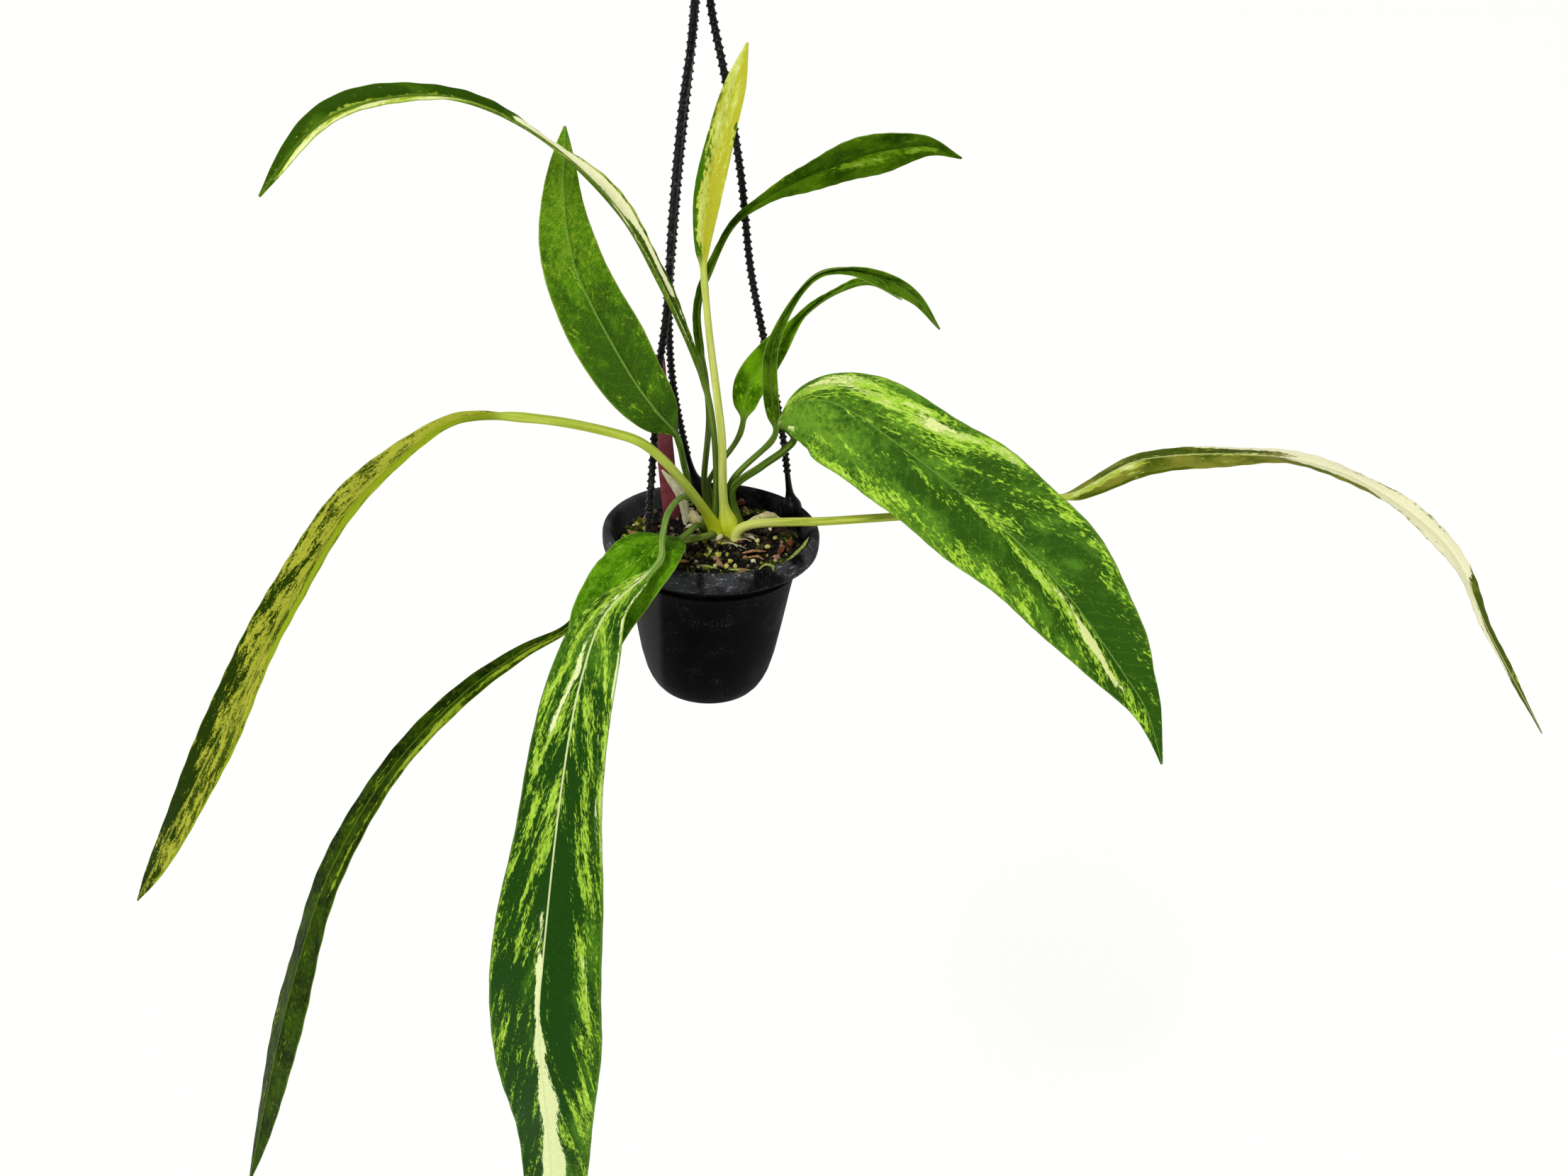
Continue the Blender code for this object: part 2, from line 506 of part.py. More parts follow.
# Two narrow leaves, one behind the other, that arch to the right at half height.
add_leaf("leaf_arching_right", (0.02, 0.11, 0.02), heading=20, blade_from=86, stalk=(2.3, 2.0, 1.8),
         way=[(10, 12, 139), (36, 5, 175), (38, 4, 182), (34, 2, 206), (34, 3, 238), (55, 8, 277),
              (73, 12, 282), (95, 17, 277), (117, 21, 265), (134, 24, 246)],
         half=[(0, 2), (0.08, 5.5), (0.3, 8), (0.42, 6.5), (0.55, 5.5), (0.72, 6), (0.8, 6), (0.9, 3.2),
               (1, 0.5)],
         roll=[(0, 60), (0.45, 70), (0.65, 95), (1, 105)],
         fold=[(0, 45), (0.3, 60), (0.5, 105), (0.62, 100), (0.75, 55), (1, 30)], wave=(0.8, 4, 0.6))
add_leaf("leaf_arching_right_rear", (0.02, 0.11, 0.02), heading=30, blade_from=86, stalk=(2.1, 1.8, 1.7),
         way=[(-5, 27, 131), (-1, 24, 143), (15, 16, 173), (19, 13, 203), (23, 13, 213), (35, 14, 232),
              (55, 19, 255), (72, 25, 265), (89, 30, 269), (110, 35, 260)],
         half=[(0, 2), (0.08, 7), (0.2, 10.5), (0.35, 9), (0.5, 5.5), (0.62, 4), (0.8, 4), (0.93, 2.5),
               (1, 0.5)],
         roll=[(0, 50), (0.45, 55), (0.7, 20), (1, 10)],
         fold=[(0, 20), (0.35, 30), (0.55, 95), (0.8, 90), (1, 30)], wave=(1.0, 4, 0.1))

# The widest leaf, marbled with lime and cream, that reaches out to the right and droops.
add_leaf("leaf_variegated_right", (0.04, 0.17, 0.03), heading=-30, blade_from=104, stalk=(2.8, 2.5, 2.4),
         way=[(12, 7, 138), (30, -2, 163), (48, -12, 183), (48, -16, 198), (58, -22, 213), (84, -38, 212),
              (172, -93, 167), (203, -113, 144), (239, -138, 106), (251, -145, 91), (265, -151, 59)],
         half=[(0, 3), (0.05, 16), (0.1, 27), (0.2, 33), (0.38, 37), (0.52, 37), (0.66, 32), (0.78, 23),
               (0.86, 12.5), (0.93, 6), (1, 0.6)],
         roll=[(0, 44), (0.3, 38), (1, 38)], fold=[(0, -28), (0.15, -20), (0.4, 2), (0.7, 22), (1, 26)],
         wave=(2.2, 5, 0.8))

# The long narrow leaf on a long level stalk that arches furthest to the right.
add_leaf("leaf_far_right", (0.30, 0.34, 0.10), heading=-8, blade_from=212, stalk=(3.2, 2.7, 2.5),
         way=[(22, -1, 117), (79, -16, 132), (173, -27, 152), (214, -32, 165), (248, -36, 191),
              (265, -38, 197), (300, -43, 203), (336, -48, 204), (373, -54, 196), (431, -62, 162),
              (476, -66, 104), (525, -72, 43)],
         half=[(0, 2.6), (0.05, 8), (0.12, 12), (0.2, 11), (0.35, 10.5), (0.5, 9.5), (0.62, 9.5), (0.7, 7),
               (0.8, 5), (0.9, 3.2), (1, 0.5)],
         roll=[(0, 18), (0.2, 15), (0.35, 2), (0.5, 16), (0.65, 32), (0.8, 35), (1, 30)],
         fold=[(0, -30), (0.2, -25), (0.35, 5), (1, 10)], wave=(0.8, 6, 0.2))

# The olive leaf, flecked with green, that arches furthest to the left.
add_leaf("leaf_far_left", (0.22, 0.24, 0.05), heading=220, blade_from=202, stalk=(3.3, 2.8, 2.4),
         way=[(-2, -4, 124), (-25, -51, 180), (-38, -65, 197), (-52, -72, 204), (-84, -92, 217),
              (-117, -109, 223), (-131, -116, 220), (-171, -138, 188), (-209, -161, 131), (-258, -186, 40),
              (-300, -204, -39)],
         half=[(0, 2.6), (0.06, 4), (0.15, 7), (0.3, 12), (0.5, 13.5), (0.65, 13.5), (0.78, 11.5), (0.88, 9),
               (0.95, 5.5), (1, 0.5)],
         roll=[(0, -14), (0.45, -14), (0.7, -24), (1, -18)],
         fold=[(0, 33), (0.45, 31), (0.7, 6), (0.88, -15), (1, -15)], wave=(1.0, 6, 0.4))

# The dark leaf that hangs below the one above, on the left.
add_leaf("leaf_low_left", (0.02, 0.10, 0.02), heading=224, blade_from=120, stalk=(2.4, 2.3, 2.3),
         way=[(-2, -13, 114), (-21, -34, 119), (-47, -48, 123), (-62, -66, 114), (-74, -95, 92),
              (-100, -109, 80), (-129, -128, 63), (-167, -154, 25), (-199, -181, -29), (-223, -203, -100),
              (-261, -229, -247)],
         half=[(0, 2.4), (0.05, 3.5), (0.15, 7.5), (0.35, 10), (0.5, 12), (0.6, 14.5), (0.7, 16.5),
               (0.8, 15), (0.88, 11), (0.95, 5.5), (1, 0.5)],
         roll=[(0, 0), (1, 0)], fold=[(0, 0), (0.4, 0), (0.6, -18), (1, -18)], wave=(1.0, 6, 0.0))

# The longest leaf, boldly marbled, that falls over the front of the rim and hangs far below the pot.
add_leaf("leaf_long_front", (0.05, 0.20, 0.03), heading=249, blade_from=140, stalk=(2.4, 2.2, 2.2),
         way=[(-4, 5, 122), (-15, -8, 138), (-19, -22, 143), (-23, -53, 146), (-22.5, -82, 144),
              (-22, -96, 138), (-48, -128, 120), (-58, -152, 91), (-66, -169, 40), (-76, -198, -70),
              (-79, -206, -114), (-77, -208, -253), (-87, -202, -406)],
         half=[(0, 2.4), (0.05, 9), (0.1, 17), (0.2, 22), (0.3, 27), (0.4, 33.5), (0.48, 37), (0.55, 36),
               (0.7, 25.5), (0.8, 19), (0.9, 11), (0.96, 5), (1, 0.6)],
         roll=[(0, -8), (1, -8)], fold=[(0, -5), (0.5, -18), (1, -18)], wave=(2.0, 5, 0.4))

# The short broad plain leaf under it.
add_leaf("leaf_broad_front", (0.07, 0.22, 0.04), heading=243, blade_from=62, stalk=(2.2, 2.0, 2.0),
         way=[(-8, -12, 121), (-15, -50, 130), (-25, -75, 139), (-40, -96, 127), (-49, -101, 114),
              (-56, -111, 98), (-60, -118, 81), (-67, -127, 40)],
         half=[(0, 2.2), (0.06, 9), (0.15, 16), (0.3, 20), (0.5, 19.5), (0.7, 15), (0.87, 8), (1, 0.6)],
         roll=[(0, -10), (1, -15)], fold=[(0, -8), (0.4, -5), (1, 5)], wave=(1.5, 3.5, 0.2))
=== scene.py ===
"""The looks of a variegated strap-leaved anthurium in its small black hanging pot.

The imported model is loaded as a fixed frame, and detailed pieces stand in for its nodes: the pot, the mix
with its bark and moss, the crown stem with its roots and old stalk, the label, the ribbed strands with
their hook, and twelve leaves, most of them marbled.

Lengths below are millimetres in the pot's own frame: the middle of the pot's base is the origin, +Z is up,
+X runs to the right and +Y to the back. The finished pieces are in metres from the seat of the hook.
Colours are given as they look, as red, green and blue from 0 to 255.
"""

import bmesh
import bpy
import numpy as np
from mathutils import Matrix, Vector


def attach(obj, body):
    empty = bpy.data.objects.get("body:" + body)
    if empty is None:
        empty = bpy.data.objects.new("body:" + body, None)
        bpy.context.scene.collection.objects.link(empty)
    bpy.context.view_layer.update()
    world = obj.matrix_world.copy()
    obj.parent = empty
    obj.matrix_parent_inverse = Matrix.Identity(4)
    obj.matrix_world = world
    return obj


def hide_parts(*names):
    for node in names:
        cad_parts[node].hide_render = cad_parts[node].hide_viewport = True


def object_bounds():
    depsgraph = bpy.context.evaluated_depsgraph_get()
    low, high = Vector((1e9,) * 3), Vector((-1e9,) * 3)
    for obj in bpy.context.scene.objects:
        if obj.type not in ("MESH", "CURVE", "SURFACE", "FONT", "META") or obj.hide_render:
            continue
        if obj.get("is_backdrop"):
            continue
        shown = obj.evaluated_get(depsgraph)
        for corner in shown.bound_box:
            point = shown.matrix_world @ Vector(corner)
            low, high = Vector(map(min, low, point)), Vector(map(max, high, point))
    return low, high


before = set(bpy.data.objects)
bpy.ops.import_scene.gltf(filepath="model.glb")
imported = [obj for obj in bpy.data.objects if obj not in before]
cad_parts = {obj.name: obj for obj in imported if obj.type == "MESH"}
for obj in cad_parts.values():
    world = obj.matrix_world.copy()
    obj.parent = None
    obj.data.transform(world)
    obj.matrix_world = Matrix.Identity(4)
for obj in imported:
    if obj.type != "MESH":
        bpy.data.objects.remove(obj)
cad_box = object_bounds()


# Stage: a plain pale floor far below the plant, white light from all round with one soft high sun, and the
# camera where the photograph was taken from. The floor glows faintly and the room behind it is seen as pure
# white, so that the two meet without an edge.
MM = 0.001
HOOK_SEAT = np.array([-14.0, 0.0, 499.0])
FLOOR_HEIGHT = -4000.0
FLOOR_HALF = 400000.0
CAMERA_PLACE = (49.0, -688.0, 451.0)
CAMERA_DOWN = 28.8
CAMERA_ROLL = 3.56
CAMERA_LENS = 27.195
CAMERA_SENSOR = 36.0
CAMERA_REACH = 2000.0
SKY_STRENGTH = 0.50
SUN_STRENGTH = 2.15
SUN_SOFTNESS = 12.0
SUN_COLOUR = (1.0, 0.985, 0.95)
SUN_FROM = (-0.3, -0.7, 0.75)
FLOOR_GLOW = 0.09
WHITE = (1.0, 1.0, 1.0, 1.0)


def placed(points):
    """Points of the pot's frame in millimetres, moved to the hook's seat and turned into metres."""
    return (np.asarray(points, float) - HOOK_SEAT) * MM


def linked(name, data):
    """An object of the scene that shows the data: a mesh, a lamp or a camera."""
    made = bpy.data.objects.new(name, data)
    bpy.context.scene.collection.objects.link(made)
    return made


def tint(red, green, blue):
    """A colour as it looks (0 to 255), turned into light by the usual power curve of screens."""
    shown = np.array([red, green, blue], float) / 255
    light = np.where(shown <= 0.04045, shown / 12.92, ((shown + 0.055) / 1.055) ** 2.4)
    return (*light.tolist(), 1.0)


def node(tree, kind, inputs=None, **settings):
    """One shader node. Each of its inputs, by name or number, gets a value or the socket that feeds it."""
    made = tree.nodes.new("ShaderNode" + kind)
    for key, value in settings.items():
        setattr(made, key, value)
    for key, value in (inputs or {}).items():
        if isinstance(value, bpy.types.NodeSocket):
            tree.links.new(value, made.inputs[key])
        else:
            made.inputs[key].default_value = value
    return made


def new_material(name, roughness, specular):
    """An empty material, its tree and its shader, which has a plain roughness and gloss level."""
    material = bpy.data.materials.new(name)
    material.use_nodes = True
    tree = material.node_tree
    shader = tree.nodes["Principled BSDF"]
    shader.inputs["Roughness"].default_value = roughness
    shader.inputs["Specular IOR Level"].default_value = specular
    return material, tree, shader


def maths(tree, operation, first, second=0.0, third=0.0):
    """The result of one sum on numbers or sockets."""
    made = node(tree, "Math", {0: first, 1: second, 2: third}, operation=operation)
    return made.outputs[0]


def mixed(tree, share, first, second, way="MIX"):
    """The first colour with a share of the second laid over it. Each is a socket or a colour as it looks."""
    colours = [tint(*colour) if isinstance(colour, tuple) else colour for colour in (first, second)]
    made = node(tree, "Mix", {0: share, 6: colours[0], 7: colours[1]}, data_type="RGBA", blend_type=way)
    return made.outputs[2]


def noise(tree, vector, scale, detail, rough=0.55, distortion=0.0):
    """A cloudy value around one half, read at the vector."""
    made = node(tree, "TexNoise", {"Vector": vector, "Scale": scale, "Detail": detail, "Roughness": rough,
                                   "Distortion": distortion})
    return made.outputs[0]


def object_place(tree, stretch=(1.0, 1.0, 1.0)):
    """The place on the finished piece, in millimetres, times a stretch for each direction."""
    place = node(tree, "TexCoord").outputs["Object"]
    scale = [share / MM for share in stretch]
    return node(tree, "VectorMath", {0: place, 1: scale}, operation="MULTIPLY").outputs[0]


floor_material, tree, shader = new_material("pale floor", 0.9, 0.1)
grain = noise(tree, object_place(tree), 0.02, 3.0)
tree.links.new(mixed(tree, grain, (247, 247, 247), (250, 250, 250)), shader.inputs["Base Color"])
shader.inputs["Emission Color"].default_value = WHITE
shader.inputs["Emission Strength"].default_value = FLOOR_GLOW
floor_mesh = bpy.data.meshes.new("floor")
corners = [(-1, -1), (1, -1), (1, 1), (-1, 1)]
floor_points = placed([(x * FLOOR_HALF, y * FLOOR_HALF, FLOOR_HEIGHT) for x, y in corners])
floor_mesh.from_pydata(floor_points.tolist(), [], [(0, 1, 2, 3)])
floor_mesh.materials.append(floor_material)
floor = linked("floor", floor_mesh)
floor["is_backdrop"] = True

world = bpy.data.worlds.new("white room")
world.use_nodes = True
sky = world.node_tree.nodes["Background"]
sky.inputs["Color"].default_value = WHITE
seen = node(world.node_tree, "LightPath").outputs["Is Camera Ray"]
strength = maths(world.node_tree, "MULTIPLY_ADD", seen, 1.0 - SKY_STRENGTH, SKY_STRENGTH)
world.node_tree.links.new(strength, sky.inputs["Strength"])
bpy.context.scene.world = world
bpy.context.scene.view_settings.view_transform = "Standard"

sun_data = bpy.data.lights.new("high soft sun", "SUN")
sun_data.energy = SUN_STRENGTH
sun_data.angle = np.radians(SUN_SOFTNESS)
sun_data.color = SUN_COLOUR
sun = linked("high soft sun", sun_data)
back = np.array(SUN_FROM) / np.linalg.norm(SUN_FROM)
side = np.cross((0.0, 0.0, 1.0), back)
side /= np.linalg.norm(side)
sun.matrix_world = Matrix(np.column_stack([side, np.cross(back, side), back]).tolist()).to_4x4()

down, roll = np.radians([CAMERA_DOWN, CAMERA_ROLL])
level_right = np.array([1.0, 0.0, 0.0])
ahead = np.array([0.0, np.cos(down), -np.sin(down)])
level_up = np.cross(level_right, ahead)
camera_right = level_right * np.cos(roll) + level_up * np.sin(roll)
camera_up = level_up * np.cos(roll) - level_right * np.sin(roll)
camera_turn = Matrix(np.column_stack([camera_right, camera_up, -ahead]).tolist()).to_4x4()
camera_data = bpy.data.cameras.new("camera")
camera_data.lens = CAMERA_LENS
camera_data.sensor_width = CAMERA_SENSOR
camera_data.clip_end = CAMERA_REACH
camera = linked("camera", camera_data)
camera.matrix_world = Matrix.Translation(placed(CAMERA_PLACE).tolist()) @ camera_turn
bpy.context.scene.camera = camera


# Pot: black polypropylene, moulded in one piece with two ridges under a wide rolled rim. It has stood in a
# nursery, so its rim is scuffed grey and its wall is dusty, and it has four drain holes in its base. The
# left side of its wall is painted a paler grey, as painted light where the sun falls.
POT_SIDES = 144
POT_BASE = [(1.0, 0.6), (28.0, 0.6), (30.0, 0.0), (33.5, 0.0), (34.9, 0.5), (35.6, 1.5)]
POT_WALL = [(37.4, 3.6), (39.8, 8.0), (42.2, 14.0), (45.5, 27.0), (48.4, 44.0), (51.0, 60.0), (53.3, 75.0),
            (55.9, 89.4)]
POT_RIDGES = [(56.4, 90.2), (57.7, 90.7), (58.1, 91.5), (57.8, 92.4), (56.9, 92.9), (56.6, 93.6),
              (57.0, 94.6), (57.5, 95.3), (58.9, 95.8), (59.3, 96.7), (59.0, 97.6), (58.2, 98.2)]
POT_RIM = [(58.3, 99.2), (60.2, 100.4), (66.0, 101.5), (68.4, 102.3), (69.4, 103.6), (69.9, 106.0),
           (70.0, 109.0), (69.9, 112.0), (69.4, 114.0), (68.3, 115.3), (66.8, 115.7), (65.2, 115.2),
           (64.2, 114.1), (63.5, 112.0)]
POT_INSIDE = [(62.8, 108.0), (61.6, 103.3), (58.5, 101.5), (55.2, 99.0), (53.3, 90.0), (45.6, 45.0),
              (38.3, 15.0), (34.2, 3.6), (33.0, 3.0), (1.0, 3.0)]
# The painted light on the wall's left side fades out between these x, and the wear sets in between
# these heights.
LIT_LEFT_FADES = (-31.0, -25.0)
WEAR_RISES = (99.0, 108.0)
DRAIN_RADIUS = 4.0
DRAIN_CIRCLE = 21.0
DRAIN_COUNT = 4
DRAIN_SIDES = 28
DRAIN_CUT = (-5.0, 6.0)


def turned(profile, sides, centre=(0.0, 0.0), squash=(1.0, 1.0)):
    """Rings of a body turned about an upright axis: each point of the (radius, height) profile becomes a
    circle x = radius cos(turn), y = radius sin(turn), squashed and moved to the centre."""
    radius, height = np.array(profile, float).T[:, :, None]
    turn = 2 * np.pi * np.arange(sides)[None, :] / sides
    x = centre[0] + radius * squash[0] * np.cos(turn)
    y = centre[1] + radius * squash[1] * np.sin(turn)
    return np.stack([x, y, np.broadcast_to(height, x.shape)], axis=2)


def ring_faces(count, sides):
    """The faces of a closed skin over `count` rings of `sides` points, with a flat cap on each end."""
    first = np.arange(count - 1)[:, None] * sides
    near = np.arange(sides)[None, :]
    beside = (near + 1) % sides
    corners = [first + near, first + beside, first + beside + sides, first + near + sides]
    faces = np.stack(corners, axis=2).reshape(-1, 4).tolist()
    faces.append(list(range(sides)))
    faces.append(list(range((count - 1) * sides, count * sides)))
    return faces


def merged(bodies):
    """Several bodies, given as (points, faces), as one set of points and faces."""
    points = []
    faces = []
    first = 0
    for body_points, body_faces in bodies:
        points.append(np.asarray(body_points, float).reshape(-1, 3))
        faces += [[first + corner for corner in face] for face in body_faces]
        first += len(points[-1])
    return np.concatenate(points), faces


def closed_mesh(name, points, faces):
    """A closed mesh of points in millimetres and faces, with the faces turned outwards."""
    mesh = bpy.data.meshes.new(name)
    mesh.from_pydata(placed(np.asarray(points).reshape(-1, 3)).tolist(), [], faces)
    shape = bmesh.new()
    shape.from_mesh(mesh)
    bmesh.ops.recalc_face_normals(shape, faces=shape.faces)
    shape.to_mesh(mesh)
    shape.free()
    return mesh


def add_piece(name, points, faces, material, slot, stands_for=(), attributes=None, sharp=50.0):
    """One finished piece that rides on the frame.

    slot: the record's material slot, which is not used. stands_for: the nodes that it replaces. attributes:
    vectors for each point, by name, for the material. sharp: edges bent by more degrees than this stay crisp.
    """
    mesh = closed_mesh(name, points, faces)
    for key, values in (attributes or {}).items():
        layer = mesh.attributes.new(key, "FLOAT_VECTOR", "POINT")
        layer.data.foreach_set("vector", np.asarray(values, np.float32).ravel())
    mesh.materials.append(material)
    mesh.shade_smooth()
    mesh.set_sharp_from_angle(angle=np.radians(sharp))
    piece = linked(name, mesh)
    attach(piece, "root")
    if stands_for:
        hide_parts(*stands_for)
    return piece


def carved(piece, points, faces):
    """Takes a closed shape out of a finished piece, and leaves no modifier behind."""
    mesh = closed_mesh("cutter", points, faces)
    cutter = linked("cutter", mesh)
    modifier = piece.modifiers.new("carved", "BOOLEAN")
    modifier.operation = "DIFFERENCE"
    modifier.solver = "EXACT"
    modifier.object = cutter
    with bpy.context.temp_override(object=piece, active_object=piece, selected_objects=[piece]):
        bpy.ops.object.modifier_apply(modifier=modifier.name)
    bpy.data.objects.remove(cutter)
    bpy.data.meshes.remove(mesh)


def soft_step(tree, value, low, high, start=0.0, end=1.0):
    """Runs smoothly from start to end while the value goes from low to high."""
    made = node(tree, "MapRange", {0: value, 1: low, 2: high, 3: start, 4: end},
                interpolation_type="SMOOTHSTEP")
    return made.outputs[0]


def parts(tree, vector):
    """The three numbers of a vector."""
    return node(tree, "SeparateXYZ", {0: vector}).outputs


def bumped(tree, shader, height, depth):
    """Tilts the surface's light as if it rose by the depth (in millimetres) where the height is 1."""
    made = node(tree, "Bump", {"Strength": 1.0, "Distance": depth * MM, "Height": height})
    tree.links.new(made.outputs[0], shader.inputs["Normal"])


def black_plastic(name, roughness, dust, gloss, wear, lit_left=0.0):
    """Black moulded plastic: a faint grain, blotches of pale dust, and on the rim grey wear and scuffs.

    The wear comes in patches. The scuffs are short streaks inside them, cut out of a fine cloud, and most
    of them lie at the front. dust: how strong the blotches and the scuffs are. wear: how strong the wear
    is. The last argument gives the share of a paler grey painted on the left side, as painted light where
    the sun falls.
    """
    material, tree, shader = new_material(name, roughness, gloss)
    place = object_place(tree)
    cloud = noise(tree, place, 0.045, 6.0, 0.62)
    specks = noise(tree, place, 0.9, 3.0, 0.6)
    colour = mixed(tree, soft_step(tree, cloud, 0.35, 0.75), (1, 1, 1), (7, 7, 8))
    dusty = maths(tree, "MULTIPLY", soft_step(tree, cloud, 0.48, 0.72), soft_step(tree, specks, 0.5, 0.72))
    colour = mixed(tree, maths(tree, "MULTIPLY", dusty, dust), colour, (92, 92, 90))
    sideways, depth, height = parts(tree, place)
    # Painted light: a paler grey is painted on the left side of the wall where the sun falls, and the shaded
    # middle stays black.
    on_left = soft_step(tree, sideways, LIT_LEFT_FADES[0] - HOOK_SEAT[0], LIT_LEFT_FADES[1] - HOOK_SEAT[0], lit_left, 0.0)
    lit_left_mask = maths(tree, "MULTIPLY", on_left, soft_step(tree, cloud, 0.3, 0.55, 0.5, 1.0))
    colour = mixed(tree, lit_left_mask, colour, (62, 61, 62))
    on_rim = soft_step(tree, height, WEAR_RISES[0] - HOOK_SEAT[2], WEAR_RISES[1] - HOOK_SEAT[2])
    patches = maths(tree, "MULTIPLY", soft_step(tree, noise(tree, place, 0.05, 3.0), 0.36, 0.60), on_rim)
    worn = maths(tree, "MULTIPLY", patches, soft_step(tree, depth, 0.0, 50.0, wear, 0.3 * wear))
    colour = mixed(tree, worn, colour, (62, 63, 66))
    streaks = noise(tree, object_place(tree, (0.5, 0.5, 1.3)), 0.5, 8.0, 0.78, 0.9)
    rubbed = maths(tree, "MULTIPLY", soft_step(tree, streaks, 0.54, 0.64), patches)
    rubbed = maths(tree, "MULTIPLY", rubbed, soft_step(tree, depth, -25.0, 15.0, 2.2 * dust, 0.44 * dust))
    colour = mixed(tree, rubbed, colour, (162, 164, 168))
    tree.links.new(colour, shader.inputs["Base Color"])
    rough = soft_step(tree, cloud, 0.3, 0.7, roughness - 0.06, roughness + 0.16)
    tree.links.new(rough, shader.inputs["Roughness"])
    grain = noise(tree, place, 2.2, 4.0, 0.6)
    dents = maths(tree, "MULTIPLY_ADD", noise(tree, place, 0.16, 3.0), 2.0, grain)
    bumped(tree, shader, dents, 0.09)
    return material


pot_profile = POT_BASE + POT_WALL + POT_RIDGES + POT_RIM + POT_INSIDE
pot_rings = turned(pot_profile, POT_SIDES)
pot = add_piece("pot_shell", pot_rings, ring_faces(len(pot_profile), POT_SIDES),
                black_plastic("black pot plastic", 0.52, 0.40, 0.03, 0.8, 0.75), "pot", ["pot"], sharp=38.0)
drains = []
for i in range(DRAIN_COUNT):
    turn = 2 * np.pi * (i + 0.5) / DRAIN_COUNT
    middle = (DRAIN_CIRCLE * np.cos(turn), DRAIN_CIRCLE * np.sin(turn))
    drain_profile = [(DRAIN_RADIUS, height) for height in DRAIN_CUT]
    drains.append((turned(drain_profile, DRAIN_SIDES, middle), ring_faces(len(DRAIN_CUT), DRAIN_SIDES)))
carved(pot, *merged(drains))


# Potting mix: an open mix of composted bark, perlite, grit and moss, filled to just under the rim. Its bed
# is one closed plug, and loose crumbs, chips and tufts lie on it.
SOIL_TOP = 104.0
BED_SIDES = 120
BED_SIDE = [(33.3, 3.4), (37.9, 15.0), (45.2, 45.0), (52.9, 90.0), (54.5, 99.4), (58.1, 102.0), (60.6, 103.2)]
BED_RADII = np.linspace(60.2, 0.8, 34)
LOOSE_REACH = 57.0
LUMP_SIDES = 7
LUMP_BELTS = 4
LUMP_SEED = 31
CROWN_MIDDLE = np.array([6.0, 11.5])
CROWN_HALF_WIDTHS = np.array([17.0, 20.5])
CRUMB_COUNT = 1700
CHIP_COUNT = 120
GRIT_COUNT = 210
PERLITE_COUNT = 22
CUSHION_COUNT = 240
MOSS_SPOTS = [(8, 52, 4.0), (16, 51, 4.5), (26, 49, 4.5), (35, 43, 4.0), (-50, 20, 4.0), (-50, 5, 4.5),
              (-38, -20, 6.0), (46, -26, 4.0), (0, -20, 3.0), (-6, -44, 5.0), (22, -45, 5.0), (50, 12, 4.0),
              (-20, -30, 6.0)]


def lumps(points, size, seed):
    """A soft uneven value, mostly between -1 and 1, at each point: the sum of seven sine waves that run in
    chance directions, with lengths around the given size, over 3.2."""
    rng = np.random.default_rng(seed)
    total = 0.0
    for _ in range(7):
        way = rng.normal(size=3)
        way *= 2 * np.pi / (size * rng.uniform(0.7, 1.6) * np.linalg.norm(way))
        total = total + np.sin(np.asarray(points) @ way + rng.uniform(0, 6.3))
    return total / 3.2


def bed_height(x, y):
    """The height of the mix's top: two sizes of lumps, a little lower beside the wall."""
    flat = np.stack([x, y, 0.0 * x], axis=-1)
    uneven = SOIL_TOP + 0.8 * lumps(flat, 16.0, 3) + 0.6 * lumps(flat, 5.0, 4)
    return uneven - 0.6 * (np.hypot(x, y) / 58) ** 4


def pebbles(centres, sizes, rough):
    """Small closed lumps as points and faces: globes whose points are pushed in and out by chance.

    A point is centre + turn × (size × (1 + rough × chance) × the globe's point). The globe has LUMP_BELTS
    rings of LUMP_SIDES points and two poles, and each lump is turned by a chance quaternion. The third
    result is three chance numbers of each lump, for the material.
    """
    rng = np.random.default_rng(LUMP_SEED)
    count = len(centres)
    lift = np.pi * (np.arange(LUMP_BELTS) + 1) / (LUMP_BELTS + 1)
    turn = 2 * np.pi * np.arange(LUMP_SIDES) / LUMP_SIDES
    belt = np.stack([np.sin(lift)[:, None] * np.cos(turn), np.sin(lift)[:, None] * np.sin(turn),
                     np.cos(lift)[:, None] + 0 * turn], axis=2).reshape(-1, 3)
    globe = np.vstack([belt, [(0, 0, 1), (0, 0, -1)]])
    top = len(belt)
    low = top + 1
    last = top - LUMP_SIDES
    faces = ring_faces(LUMP_BELTS, LUMP_SIDES)[:-2]
    faces += [(top, (j + 1) % LUMP_SIDES, j) for j in range(LUMP_SIDES)]
    faces += [(low, last + j, last + (j + 1) % LUMP_SIDES) for j in range(LUMP_SIDES)]
    pushed = 1 + rough * rng.uniform(-1, 1, size=(count, len(globe), 1))
    shaped = globe[None] * pushed * sizes[:, None, :]
    quaternions = rng.normal(size=(count, 4)).T
    w, x, y, z = quaternions / np.linalg.norm(quaternions, axis=0)
    turns = np.array([[1 - 2 * (y * y + z * z), 2 * (x * y - z * w), 2 * (x * z + y * w)],
                      [2 * (x * y + z * w), 1 - 2 * (x * x + z * z), 2 * (y * z - x * w)],
                      [2 * (x * z - y * w), 2 * (y * z + x * w), 1 - 2 * (x * x + y * y)]])
    bodies = np.einsum("abn,npb->npa", turns, shaped) + centres[:, None, :]
    chance = np.repeat(rng.uniform(size=(count, 3)), len(globe), axis=0)
    return *merged([(body, faces) for body in bodies]), chance


